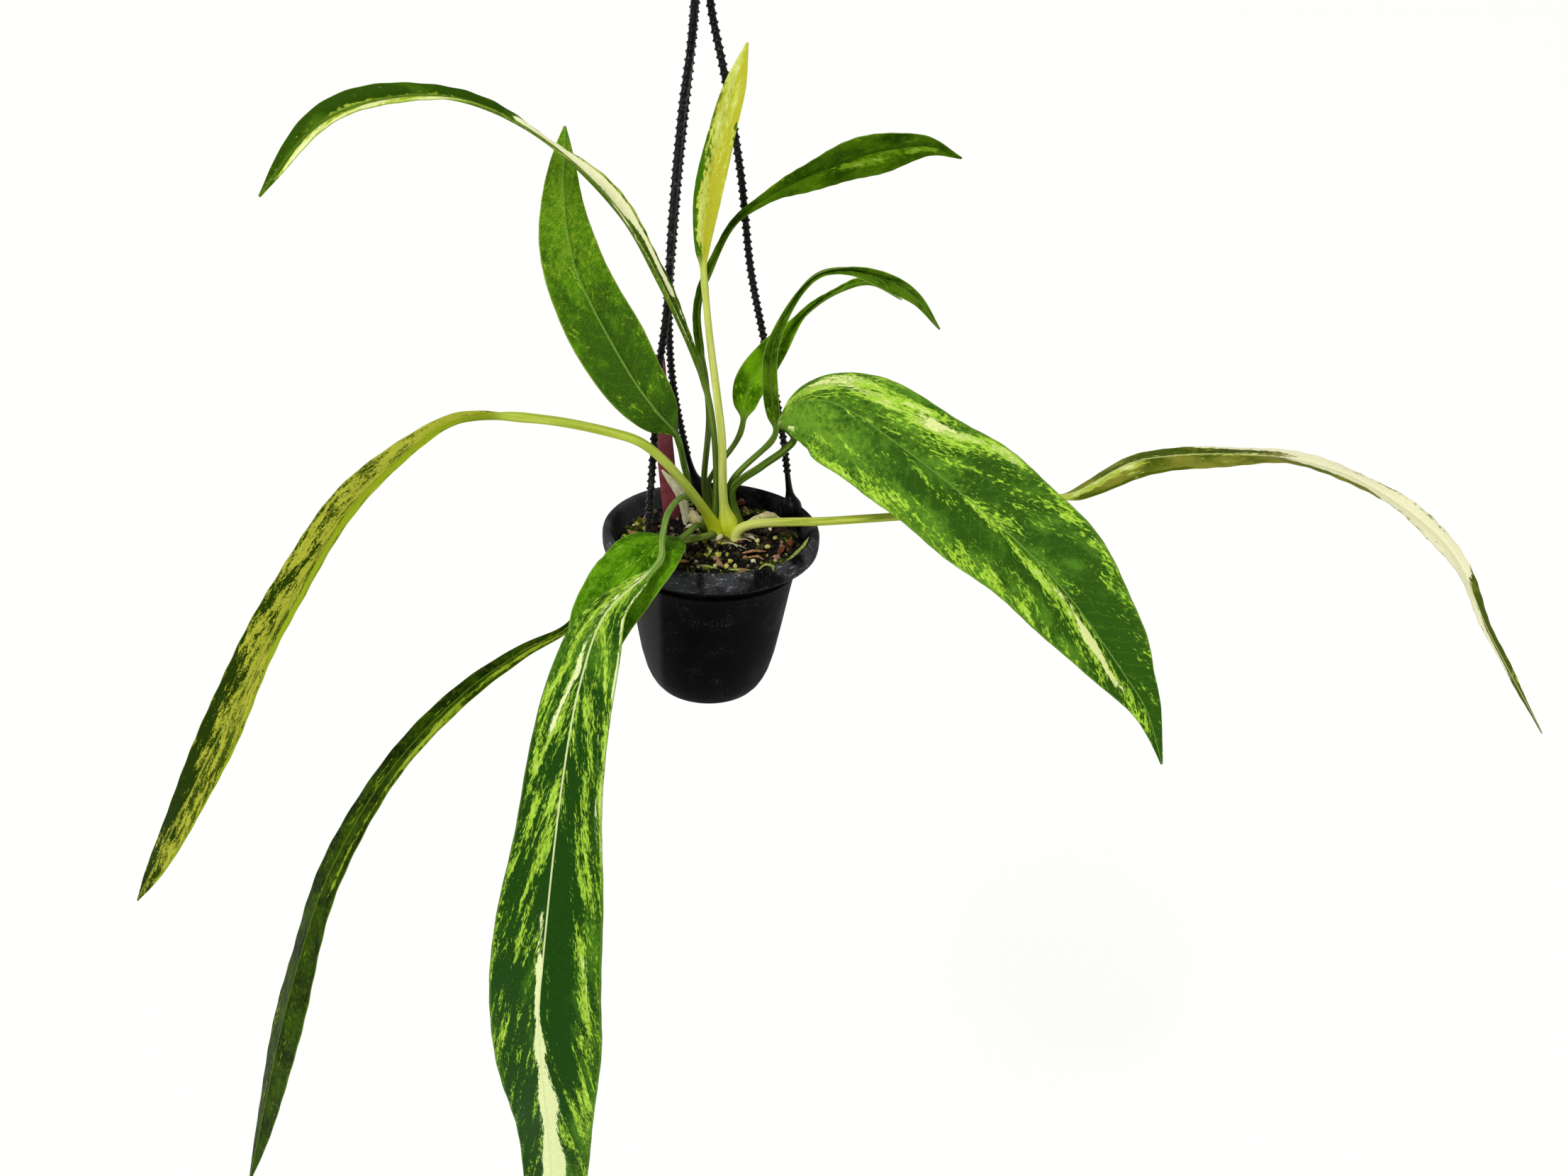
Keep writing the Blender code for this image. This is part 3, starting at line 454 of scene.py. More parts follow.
def scattered(sizes, seed, sink=0.3, spots=None):
    """Places on the bed, outside the crown stem, for lumps of the given sizes.

    sink: the share of a lump's height that lies in the bed. spots: (x, y, spread) of the places where the
    lumps gather, or nothing for all over the bed.
    """
    rng = np.random.default_rng(seed)
    count = len(sizes)
    found = np.empty((0, 2))
    while len(found) < count:
        if spots is None:
            radius = LOOSE_REACH * np.sqrt(rng.uniform(size=count))
            turn = rng.uniform(0, 2 * np.pi, size=count)
            tried = np.stack([radius * np.cos(turn), radius * np.sin(turn)], axis=1)
        else:
            chosen = np.array(spots)[rng.integers(len(spots), size=count)]
            tried = chosen[:, :2] + rng.normal(size=(count, 2)) * chosen[:, 2:]
        clear = np.linalg.norm((tried - CROWN_MIDDLE) / (CROWN_HALF_WIDTHS - 3.0), axis=1) > 1
        found = np.vstack([found, tried[clear & (np.hypot(*tried.T) < LOOSE_REACH)]])
    found = found[:count]
    above = (1 - sink) * sizes[:, 2] * rng.uniform(0.5, 1.3, size=count)
    return np.column_stack([found, bed_height(*found.T) + above])


def attribute(tree, name):
    """The vector that the piece's mesh carries under that name at each of its points."""
    return node(tree, "Attribute", attribute_name=name).outputs["Vector"]


def crumb_material(name, dark, light, odd, share, grain=1.2):
    """One kind of crumb: a cloudy mix of two colours, and the odd colour on those crumbs, by chance, whose
    number lies over the share. grain: how fine the clouds are."""
    material, tree, shader = new_material(name, 0.9, 0.25)
    first, second, _ = parts(tree, attribute(tree, "chance"))
    place = object_place(tree)
    cloud = noise(tree, place, grain, 5.0, 0.65)
    mix = maths(tree, "MULTIPLY_ADD", first, 0.5, maths(tree, "MULTIPLY_ADD", cloud, 1.4, -0.45))
    colour = mixed(tree, soft_step(tree, mix, 0.1, 0.9), dark, light)
    colour = mixed(tree, soft_step(tree, second, share, share + 0.15), colour, odd)
    tree.links.new(colour, shader.inputs["Base Color"])
    bumped(tree, shader, noise(tree, place, 3.0, 4.0, 0.7), 0.25)
    return material


bed_material, tree, shader = new_material("dark potting mix", 0.95, 0.15)
place = object_place(tree)
cloud = noise(tree, place, 0.25, 7.0, 0.7)
crumbs = node(tree, "TexVoronoi", {"Vector": place, "Scale": 0.55}).outputs
colour = mixed(tree, soft_step(tree, cloud, 0.35, 0.7), (2, 2, 1), (12, 9, 6))
colour = mixed(tree, soft_step(tree, crumbs[0], 0.0, 0.8, 0.4, 0.0), colour, (17, 13, 9))
tree.links.new(colour, shader.inputs["Base Color"])
bumped(tree, shader, maths(tree, "SUBTRACT", noise(tree, place, 1.2, 5.0, 0.7), crumbs[0]), 1.0)

bed_profile = BED_SIDE + [(radius, SOIL_TOP) for radius in BED_RADII]
bed_rings = turned(bed_profile, BED_SIDES)
on_top = bed_rings[len(BED_SIDE):]
on_top[:, :, 2] = bed_height(on_top[:, :, 0], on_top[:, :, 1])
add_piece("mix_bed", bed_rings, ring_faces(len(bed_profile), BED_SIDES), bed_material, "potting_mix",
          ["potting_mix"])

rng = np.random.default_rng(11)
crumb_sizes = rng.uniform(0.7, 1.9, size=(CRUMB_COUNT, 1)) * rng.uniform(0.6, 1.2, size=(CRUMB_COUNT, 3))
chip_sizes = rng.uniform(1.4, 3.4, size=(CHIP_COUNT, 1)) * np.array([1.3, 0.9, 0.5])
grit_sizes = rng.uniform(0.6, 1.9, size=(GRIT_COUNT, 1)) * np.array([1.1, 0.9, 0.8])
cushion_sizes = rng.uniform(0.8, 2.2, size=(CUSHION_COUNT, 1)) * np.array([1.1, 1.0, 0.8])
perlite_sizes = rng.uniform(1.0, 2.2, size=(PERLITE_COUNT, 1))
perlite_sizes = perlite_sizes * rng.uniform(0.8, 1.1, size=(PERLITE_COUNT, 3))
LOOSE = {
    "mix_dark_crumbs": (crumb_sizes, scattered(crumb_sizes, 21), 0.3, crumb_material(
        "dark crumbs", (3, 2, 2), (14, 11, 7), (66, 60, 30), share=0.84)),
    "mix_bark_chips": (chip_sizes, scattered(chip_sizes, 22, sink=0.1), 0.3, crumb_material(
        "bark chips", (13, 7, 4), (52, 29, 18), (156, 120, 92), share=0.6, grain=0.8)),
    "mix_grit": (grit_sizes, scattered(grit_sizes, 23, sink=0.1), 0.25, crumb_material(
        "grit", (54, 38, 28), (152, 128, 102), (146, 150, 56), share=0.5)),
    "mix_moss_cushions": (cushion_sizes, scattered(cushion_sizes, 25, spots=MOSS_SPOTS), 0.25, crumb_material(
        "moss cushions", (28, 36, 2), (88, 100, 12), (176, 176, 62), share=0.75, grain=2.0)),
    "mix_perlite": (perlite_sizes, scattered(perlite_sizes, 24, sink=0.1), 0.12, crumb_material(
        "perlite", (190, 180, 130), (226, 222, 198), (196, 186, 92), share=0.5)),
}
for piece_name, (sizes, centres, rough, material) in LOOSE.items():
    points, faces, chance = pebbles(centres, sizes, rough)
    add_piece(piece_name, points, faces, material, "potting_mix", attributes={"chance": chance}, sharp=32.0)


# Moss: fine tufts that have grown over the mix where it stays damp. Each blade is a slim three-sided spike
# that leans its own way.
TUFT_COUNT = 3600
TUFT_SIZE = 0.3
TUFT_FOOT = 0.42
TUFT_SUNK = 0.4

rng = np.random.default_rng(41)
roots_of_tufts = scattered(np.full((TUFT_COUNT, 3), TUFT_SIZE), 42, spots=MOSS_SPOTS)
lean = np.column_stack([rng.normal(0, 0.5, size=(TUFT_COUNT, 2)), np.ones(TUFT_COUNT)])
lean *= (rng.uniform(1.2, 3.0, size=TUFT_COUNT) / np.linalg.norm(lean, axis=1))[:, None]
turn = rng.uniform(0, 6.3, size=(TUFT_COUNT, 1)) + 2 * np.pi * np.arange(3) / 3
feet = np.stack([TUFT_FOOT * np.cos(turn), TUFT_FOOT * np.sin(turn), 0 * turn - TUFT_SUNK], axis=2)
tufts = np.concatenate([roots_of_tufts[:, None] + feet, (roots_of_tufts + lean)[:, None]], axis=1)
corners = np.array([(0, 1, 3), (1, 2, 3), (2, 0, 3), (0, 2, 1)])
tuft_faces = (np.arange(TUFT_COUNT)[:, None, None] * 4 + corners).reshape(-1, 3).tolist()
chance = np.repeat(rng.uniform(size=(TUFT_COUNT, 3)), 4, axis=0)
add_piece("mix_moss", tufts, tuft_faces, crumb_material(
    "moss", (34, 44, 2), (90, 104, 12), (136, 144, 44), share=0.7), "potting_mix",
    attributes={"chance": chance}, sharp=180.0)


# Scraps on the mix: curled strips of old green leaf on the rim's inner bend, twigs, pieces of red bark and a
# few whole grains. They lie loose, half sunk in the crumbs, and all taper to both ends.
SCRAP_TAPER = np.array([0.25, 0.9, 1.0, 0.85, 0.2])


def smooth_line(points):
    """A dense smooth curve through the points (centripetal Catmull-Rom), and the length up to each point.

    Between two points it blends two parabolas through three neighbours each, with knots spaced by the
    square root of the distance, so that it neither overshoots nor loops.
    """
    keys = np.array(points, float)
    keys = np.vstack([2 * keys[0] - keys[1], keys, 2 * keys[-1] - keys[-2]])
    spans = np.sqrt(np.linalg.norm(np.diff(keys, axis=0), axis=1))
    knots = np.concatenate([[0.0], np.cumsum(spans)])
    pieces = []
    for i in range(1, len(keys) - 2):
        k0, k1, k2, k3 = knots[i - 1:i + 3]
        t = np.linspace(k1, k2, 24, endpoint=False)[:, None]
        a1 = ((k1 - t) * keys[i - 1] + (t - k0) * keys[i]) / (k1 - k0)
        a2 = ((k2 - t) * keys[i] + (t - k1) * keys[i + 1]) / (k2 - k1)
        a3 = ((k3 - t) * keys[i + 1] + (t - k2) * keys[i + 2]) / (k3 - k2)
        b1 = ((k2 - t) * a1 + (t - k0) * a2) / (k2 - k0)
        b2 = ((k3 - t) * a2 + (t - k1) * a3) / (k3 - k1)
        pieces.append(((k2 - t) * b1 + (t - k1) * b2) / (k2 - k1))
    line = np.vstack(pieces + [keys[-2:-1]])
    steps = np.linalg.norm(np.diff(line, axis=0), axis=1)
    return line, np.concatenate([[0.0], np.cumsum(steps)])


def points_at(line, along, places):
    """The curve's points at the given distances along it."""
    return np.stack([np.interp(places, along, line[:, k]) for k in range(3)], axis=1)


def swept(line, radii, sides, flat=1.0):
    """Rings of a bar along a line, each turned as little as possible from the one before.

    A ring's point is the line's point + radius × (cos(turn) × side + flat × sin(turn) × other).
    """
    line = np.asarray(line, float)
    tangents = np.gradient(line, axis=0)
    tangents /= np.linalg.norm(tangents, axis=1)[:, None]
    side = np.array([0.2, 0.97, 0.1])
    angle = (2 * np.pi * np.arange(sides) / sides)[:, None]
    rings = []
    for point, tangent, radius in zip(line, tangents, radii):
        side = side - tangent * np.dot(side, tangent)
        side /= np.linalg.norm(side)
        other = np.cross(tangent, side)
        rings.append(point + radius * (np.cos(angle) * side + flat * np.sin(angle) * other))
    return np.array(rings)


def rod(way, radii, rows, sides, flat=1.0, rough=0.0, size=3.0, seed=0):
    """Points and faces of a closed bar through the points of way. Its radius runs through radii, and lumps
    of about the given size push its skin in and out by the share rough."""
    line, along = smooth_line(way)
    places = np.linspace(0, along[-1], rows)
    radius = np.interp(places, np.linspace(0, along[-1], len(radii)), radii)
    middle = points_at(line, along, places)
    rings = swept(middle, radius, sides, flat)
    if rough:
        push = 1 + rough * lumps(rings, size, seed)[..., None]
        rings = middle[:, None] + (rings - middle[:, None]) * push
    return rings.reshape(-1, 3), ring_faces(rows, sides)


def stem_material(name, dark, light, spot, spot_share=0.6):
    """Living or dry stem: two colours in soft clouds, with spots of a third colour where it has aged."""
    material, tree, shader = new_material(name, 0.7, 0.35)
    place = object_place(tree)
    cloud = noise(tree, place, 0.25, 6.0, 0.65)
    colour = mixed(tree, soft_step(tree, cloud, 0.35, 0.65), dark, light)
    aged = soft_step(tree, noise(tree, place, 0.475, 6.0, 0.7), 0.54, 0.66, 0.0, spot_share)
    colour = mixed(tree, aged, colour, spot)
    tree.links.new(colour, shader.inputs["Base Color"])
    bumped(tree, shader, noise(tree, place, 1.6, 6.0, 0.65), 0.4)
    return material


# Each kind: its material, and for each scrap the way it runs, its radius and how flat it is.
SCRAPS = {
    "mix_leaf_scraps": (stem_material("leaf scraps", (96, 120, 30), (170, 184, 92), (196, 190, 120)), [
        ([(32.7, -54.0, 113.5), (36.5, -51.5, 116.4), (41.0, -53.5, 117.0), (42.1, -58.0, 115.8)], 1.5, 0.45),
        ([(46.5, -38.5, 109.5), (52.6, -31.8, 112.4), (58.5, -21.0, 114.0), (62.8, -8.0, 115.2)], 1.7, 0.4),
        ([(-6.0, -39.0, 106.5), (1.0, -42.5, 108.0), (8.0, -41.0, 106.0)], 1.3, 0.4),
        ([(14.0, -41.0, 106.0), (22.0, -43.0, 107.5), (28.0, -40.0, 106.0)], 1.2, 0.4),
        ([(-2.0, -14.0, 106.5), (1.0, -20.0, 107.5), (-1.0, -27.0, 106.0)], 1.2, 0.4)]),
    "mix_twigs": (stem_material("twigs", (128, 84, 44), (186, 140, 88), (70, 40, 22), 0.5), [
        ([(21.0, -19.5, 106.6), (28.0, -17.0, 107.6), (36.0, -14.5, 106.6)], 1.3, 0.7),
        ([(-22.0, -40.0, 106.4), (-17.0, -37.0, 107.2), (-11.0, -34.0, 106.2)], 1.5, 0.7),
        ([(24.0, -24.0, 106.2), (31.0, -23.0, 106.9), (35.0, -25.0, 106.0)], 0.9, 0.8)]),
    "mix_red_bark": (stem_material("red bark", (62, 24, 10), (122, 58, 24), (34, 14, 8)), [
        ([(44.5, -18.0, 106.6), (46.0, -13.0, 107.6), (48.0, -8.0, 107.0)], 3.6, 0.5),
        ([(51.0, -6.0, 107.0), (51.5, -2.0, 108.0), (52.0, 1.0, 107.0)], 3.0, 0.6),
        ([(14.0, 50.0, 108.0), (16.0, 51.5, 109.5), (19.0, 51.0, 108.5)], 3.2, 0.7)]),
    "mix_whole_grains": (stem_material("grains", (176, 168, 60), (212, 206, 128), (150, 140, 60)), [
        ([(4.6, -25.6, 106.4), (6.4, -25.1, 107.2), (8.2, -24.8, 106.4)], 2.3, 0.9),
        ([(16.6, -38.0, 106.6), (19.4, -37.6, 106.8)], 1.9, 0.9),
        ([(4.2, -38.6, 106.6), (6.8, -38.2, 106.8)], 1.6, 0.9),
        ([(28.0, -1.0, 106.6), (31.4, 0.2, 107.0)], 2.0, 0.8),
        ([(35.0, -9.0, 106.6), (38.6, -7.2, 107.0)], 1.9, 0.8),
        ([(40.0, 4.0, 106.6), (42.4, 6.4, 107.0)], 1.7, 0.8)]),
}
for i, (piece_name, (material, bars)) in enumerate(SCRAPS.items()):
    bodies = []
    for j, (way, radius, flat) in enumerate(bars):
        seed = 200 + 10 * i + j
        bodies.append(rod(way, radius * SCRAP_TAPER, 30, 14, flat, rough=0.2, size=5.0, seed=seed))
    add_piece(piece_name, *merged(bodies), material, "potting_mix")


# Crown stem: the short knobbly stem that all the stalks stand in, yellow-green where it is young, with
# brown papery remains of old sheaths round it, the first pale nubs of new roots and hair-thin older ones.
CROWN_PROFILE = [(0.90, 98.0), (1.0, 101.5), (1.0, 103.5), (0.97, 105.2), (0.90, 106.4), (0.78, 107.3),
                 (0.62, 107.9), (0.45, 108.3), (0.28, 108.5), (0.12, 108.6), (0.02, 108.6)]
CROWN_SIDES = 96
KNOBS_FROM = 102.0
KNOBS_FADE = 5.0
# Each sheath: x, y, radius, height, and the directions in degrees between which it stands.
SHEATHS = [(11.0, 7.0, 7.3, 12, -50, 60), (11.0, 7.0, 7.5, 4, 215, 300), (2.0, 4.0, 5.6, 4, 150, 250),
           (16.0, 1.0, 5.0, 5, -80, 60), (-5.5, 2.5, 3.6, 5, 120, 250), (18.0, 11.0, 4.4, 9, -60, 60)]
SHEATH_ROWS = 12
SHEATH_COLUMNS = 26
SHEATH_THICK = 0.25
# Each nub: the way it runs, and its radius.
NUBS = [([(-8.0, 1.0, 106.5), (-13.5, -4.0, 107.5), (-15.5, -7.5, 106.0)], 1.5),
        ([(6.5, -1.0, 108.5), (3.5, -4.5, 108.2), (-0.5, -5.5, 106.8)], 1.7),
        ([(-9.0, 12.0, 106.0), (-15.0, 12.5, 108.2), (-18.5, 12.0, 106.5)], 1.5),
        ([(20.0, 6.0, 106.5), (25.0, 4.5, 107.2), (28.5, 3.5, 105.4)], 1.4)]
HAIR_ROOT_COUNT = 16

crown_rings = turned(CROWN_PROFILE, CROWN_SIDES, CROWN_MIDDLE, CROWN_HALF_WIDTHS)
rise = np.clip((crown_rings[:, :, 2] - KNOBS_FROM) / KNOBS_FADE, 0, 1)
crown_rings[:, :, 2] += rise * (0.9 * lumps(crown_rings, 9.0, 51) + 0.5 * lumps(crown_rings, 4.0, 52) - 0.6)
swing = 1 + 0.05 * lumps(crown_rings, 8.0, 53)[..., None]
crown_rings[:, :, :2] = CROWN_MIDDLE + (crown_rings[:, :, :2] - CROWN_MIDDLE) * swing
add_piece("crown_knob", crown_rings, ring_faces(len(CROWN_PROFILE), CROWN_SIDES), stem_material(
    "crown stem", (58, 44, 26), (126, 120, 50), (40, 26, 16), 0.9), "crown_stem", ["crown_stem"])

papery = []
for i, (x, y, radius, height, start, end) in enumerate(SHEATHS):
    turn = np.radians(np.linspace(start, end, SHEATH_COLUMNS))[None, :]
    rise = np.linspace(0, 1, SHEATH_ROWS)[:, None]
    share = (turn - turn[0, 0]) / (turn[0, -1] - turn[0, 0])
    edge = 0.75 + 0.25 * np.sin(7 * turn + i) * np.sin(np.pi * share)
    swell = radius * (1 + 0.10 * rise**2) + 0.25 * np.sin(9 * turn + 3 * rise)
    z = SOIL_TOP + height * rise * edge
    outside, inside = [np.stack([x + reach * np.cos(turn), y + reach * np.sin(turn), z], axis=2)
                       for reach in (swell, swell - SHEATH_THICK)]
    rings = np.concatenate([outside, inside[:, ::-1]], axis=1)
    papery.append((rings, ring_faces(SHEATH_ROWS, 2 * SHEATH_COLUMNS)))
add_piece("crown_sheaths", *merged(papery), stem_material(
    "papery sheath", (110, 66, 34), (168, 120, 70), (72, 36, 20), 0.7), "crown_stem", sharp=80.0)

nubs = []
for i, (way, radius) in enumerate(NUBS):
    radii = [radius, radius * 1.1, radius, radius * 0.8, 0.2]
    nubs.append(rod(way, radii, 16, 14, rough=0.06, size=3.0, seed=60 + i))
rng = np.random.default_rng(65)
for _ in range(HAIR_ROOT_COUNT):
    turn = rng.uniform(0, 2 * np.pi)
    foot, tip = [CROWN_MIDDLE + CROWN_HALF_WIDTHS * np.array([np.cos(way), np.sin(way)]) * out
                 for way, out in ((turn, 0.9), (turn + 0.5, 1.45))]
    mid = (foot + tip) / 2 + rng.normal(0, 1.5, size=2)
    nubs.append(rod([(*foot, 106.5), (*mid, 107.0 + rng.uniform(0, 0.8)), (*tip, 105.0)],
                    [0.3, 0.35, 0.3, 0.12], 12, 7))
add_piece("crown_root_nubs", *merged(nubs), stem_material(
    "young roots", (196, 186, 138), (226, 222, 192), (150, 118, 78), 0.35), "crown_stem")


# Aerial roots: two thick roots that leave the crown stem and rest on the mix. Their pale spongy skin is
# uneven and stained brown in places.
ROOTS = {
    "aerial_root_left": (
        [(-6.0, 14.0, 107.8), (-12.0, 20.0, 109.2), (-16.5, 27.0, 109.6), (-19.5, 34.0, 108.8),
         (-25.0, 40.0, 107.4)], [2.4, 3.5, 4.0, 3.7, 3.0, 2.0, 0.3]),
    "aerial_root_right": (
        [(21.8, 21.4, 107.6), (28.0, 27.0, 108.4), (33.5, 31.5, 109.0), (38.5, 34.0, 108.6),
         (44.0, 33.0, 107.6)], [2.0, 2.5, 2.8, 3.3, 3.3, 2.2, 0.3]),
}
root_skin = stem_material("root skin", (170, 158, 104), (222, 212, 160), (134, 104, 62), 0.35)
for i, (root_name, (way, radii)) in enumerate(ROOTS.items()):
    points, faces = rod(way, radii, 64, 26, rough=0.10, size=4.5, seed=70 + i)
    add_piece(root_name + "_skin", points, faces, root_skin, root_name, [root_name])


# Old stalk: the dry cream stump of a leaf that died back. It has shrunk into lengthwise wrinkles and ends
# in a shrivelled tip.
OLD_STALK_WAY = [(-18.8, 23.2, 97.0), (-18.8, 23.2, 104.0), (-22.3, 22.3, 124.5), (-34.8, 20.5, 143.2)]
OLD_STALK_RADII = [1.6, 2.0, 2.8, 3.1, 2.9, 2.1, 0.6]
OLD_STALK_ROWS = 80
OLD_STALK_SIDES = 30

line, along = smooth_line(OLD_STALK_WAY)
places = np.linspace(0, along[-1], OLD_STALK_ROWS)
middle = points_at(line, along, places)
radius = np.interp(places, np.linspace(0, along[-1], len(OLD_STALK_RADII)), OLD_STALK_RADII)
stump_rings = swept(middle, radius, OLD_STALK_SIDES)
turn = 2 * np.pi * np.arange(OLD_STALK_SIDES)[None, :, None] / OLD_STALK_SIDES
wrinkled = 1 + 0.09 * np.sin(6 * turn + 0.05 * places[:, None, None]) + 0.05 * np.sin(11 * turn)
stump_rings = middle[:, None] + (stump_rings - middle[:, None]) * wrinkled
dry_stalk = stem_material("dry stalk", (204, 198, 156), (230, 226, 196), (160, 132, 86), 0.4)
add_piece("old_stalk_stump", stump_rings, ring_faces(OLD_STALK_ROWS, OLD_STALK_SIDES), dry_stalk, "old_stalk",
          ["old_stalk"])


# Label stake: a plain strip of dull red plastic with a pointed foot, pushed into the mix. It is slightly
# bowed, faded and scratched along its length, and stained by the mix at its foot.
LABEL_HALF = 5.6
LABEL_THICK = 0.8
LABEL_FOOT = np.array([-28.5, 27.0, SOIL_TOP])
LABEL_TOP = np.array([-39.5, 22.0, 219.5])
LABEL_DEPTH = 15.0
LABEL_POINT = 9.8
LABEL_ROUNDING = 3.0
LABEL_WAVE = (0.5, 34.0)
LABEL_STAIN = (103.0, 118.0)
LABEL_ROWS = 60

label_up = LABEL_TOP - LABEL_FOOT
label_length = np.linalg.norm(label_up)
label_up /= label_length
label_face = np.array([0.12, -1.0, 0.0])
label_face -= label_up * np.dot(label_face, label_up)
label_face /= np.linalg.norm(label_face)
label_across = np.cross(label_up, label_face)
rise = np.linspace(-LABEL_DEPTH, label_length, LABEL_ROWS)
half = LABEL_HALF * np.clip((rise + LABEL_DEPTH + 0.8) / LABEL_POINT, 0.05, 1)
from_top = np.clip((label_length - rise) / LABEL_ROUNDING, 0, 1)
half *= 0.5 + 0.5 * np.sqrt(1 - (1 - from_top) ** 2)
section = np.array([(-1, -0.6), (-0.97, -1), (-0.5, -1), (0, -1), (0.5, -1), (0.97, -1), (1, -0.6),
                    (1, 0.6), (0.97, 1), (0.5, 1), (0, 1), (-0.5, 1), (-0.97, 1), (-1, 0.6)])
wide = half[:, None] * section[None, :, 0]
bowed = LABEL_WAVE[0] * np.sin(rise / LABEL_WAVE[1])
deep_side = LABEL_THICK / 2 * section[None, :, 1] + bowed[:, None]
label_rings = LABEL_FOOT + wide[..., None] * label_across + rise[:, None, None] * label_up
label_rings += deep_side[..., None] * label_face

label_material, tree, shader = new_material("faded red plastic", 0.5, 0.4)
place = object_place(tree)
colour = mixed(tree, soft_step(tree, noise(tree, place, 0.06, 4.0), 0.35, 0.65), (104, 36, 48), (134, 62, 70))
scratches = noise(tree, object_place(tree, (2.5, 2.5, 0.12)), 1.0, 5.0, 0.7)
colour = mixed(tree, soft_step(tree, scratches, 0.58, 0.7, 0.0, 0.5), colour, (168, 110, 112))
stain = [height - HOOK_SEAT[2] for height in LABEL_STAIN]
colour = mixed(tree, soft_step(tree, parts(tree, place)[2], *stain, 0.6, 0.0), colour, (60, 40, 32))
tree.links.new(colour, shader.inputs["Base Color"])
bumped(tree, shader, scratches, 0.1)
add_piece("label_strip", label_rings, ring_faces(LABEL_ROWS, len(section)), label_material, "label_stake",
          ["label_stake"], sharp=60.0)


# Hanger strands: three strands moulded in black plastic, ribbed like a cable tie's tail. Each grows out of a
# rounded lug that clips over the pot's rim and runs taut to the hub.
STRAND_CORE = 1.8
STRAND_RIB = 2.75
STRAND_SLOPE = 0.16
STRAND_SIDES = 16
RIB_PITCH = 4.25
RIB_REACH = 0.14
RIB_ROWS = 9
LUG_CIRCLE = 63.8
LUG_UPRIGHT = 114.0
LUG_END = 138.0
LUG_ROWS = 44
LUG_KEYS = [(105.5, 0.6), (105.8, 3.0), (107.0, 5.2), (108.5, 6.2), (111.0, 6.8), (114.0, 6.9), (117.0, 6.2),
            (119.0, 5.0), (121.0, 3.7), (123.5, 2.8), (127.0, 2.3), (133.0, 2.0), (140.0, STRAND_CORE)]
HUB_BOTTOM = 440.0
HUB_CIRCLE = 4.6
# Each strand: its direction at the rim and at the hub, in degrees from +X, and points on its way between.
STRANDS = {
    "strand_left": (236.0, 236.0, [
        (-34.4, -53, 133.6), (-32.4, -46, 177.6), (-29.8, -38, 231), (-26.6, -32, 262), (-24.7, -22, 315),
        (-20.9, -13, 368.5), (-17.4, -7, 399), (-16.3, -4.4, 419)]),
    "strand_back": (104.0, 104.0, [
        (-21, 60, 134), (-27.5, 53, 167), (-31.7, 46, 198.5), (-33, 39, 230), (-32, 32, 262),
        (-29.4, 26, 293), (-26, 19, 330), (-22, 12, 365.5), (-17.6, 5.4, 405)]),
    "strand_right": (37.0, 25.0, [
        (48.8, 40, 124), (41.3, 35, 170), (26.7, 26, 234), (17.5, 20, 276), (9.9, 13, 331.5), (0.4, 7, 380),
        (-8.6, 2.2, 419)]),
}


def bell(distance, reach):
    """1 at no distance, falling smoothly to nothing a few reaches away: e to the minus (distance/reach)²."""
    return np.exp(-(distance / reach) ** 2)


hanger_plastic = black_plastic("black hanger plastic", 0.28, 0.12, 0.15, 0.05)
for strand_name, (rim_angle, hub_angle, way) in STRANDS.items():
    rim_turn, hub_turn = np.radians([rim_angle, hub_angle])
    rim = (LUG_CIRCLE * np.cos(rim_turn), LUG_CIRCLE * np.sin(rim_turn))
    hub = (HOOK_SEAT[0] + HUB_CIRCLE * np.cos(hub_turn), HOOK_SEAT[1] + HUB_CIRCLE * np.sin(hub_turn))
    line, along = smooth_line([(*rim, LUG_KEYS[0][0]), (*rim, LUG_UPRIGHT)] + way + [(*hub, HUB_BOTTOM)])
    start = np.interp(LUG_END, line[:, 2], along)
    lug_places = np.interp(np.linspace(LUG_KEYS[0][0], LUG_END, LUG_ROWS), line[:, 2], along)
    rib_rows = int((along[-1] - start) / RIB_PITCH) * RIB_ROWS
    rib_places = np.linspace(start, along[-1], rib_rows + 1)[1:]
    places = np.concatenate([lug_places, rib_places])
    middle = points_at(line, along, places)
    lug_radius = np.interp(middle[:, 2], *np.array(LUG_KEYS).T)
    phase = ((places - start) / RIB_PITCH) % 1.0
    ribbed = STRAND_CORE + STRAND_SLOPE * phase + (STRAND_RIB - STRAND_CORE) * bell(phase - 0.5, RIB_REACH)
    radius = np.where(places <= start, lug_radius, ribbed)
    strand_rings = swept(middle, radius, STRAND_SIDES)
    add_piece(strand_name + "_ribbed", strand_rings, ring_faces(len(places), STRAND_SIDES), hanger_plastic,
              strand_name, [strand_name], sharp=35.0)


# Hanger hook: the round hub that the strands run into and the open hook above it, moulded in one piece.
HOOK_BAR = 2.6
HOOK_RADIUS = 15.6
HOOK_TURN = (-70.0, 215.0)
HOOK_ROWS = 90
HOOK_SIDES = 28
HOOK_NECK = (-12.4, 0.0, 465.5)
HOOK_TIP = [2.45, 2.1, 1.4, 0.4]
HOOK_HUB = [(440.3, 6.4), (440.6, 7.1), (441.6, 7.5), (444.0, 7.6), (447.0, 7.3), (449.5, 6.0), (452.0, 4.4),
            (455.0, 3.4), (458.0, 2.9)]

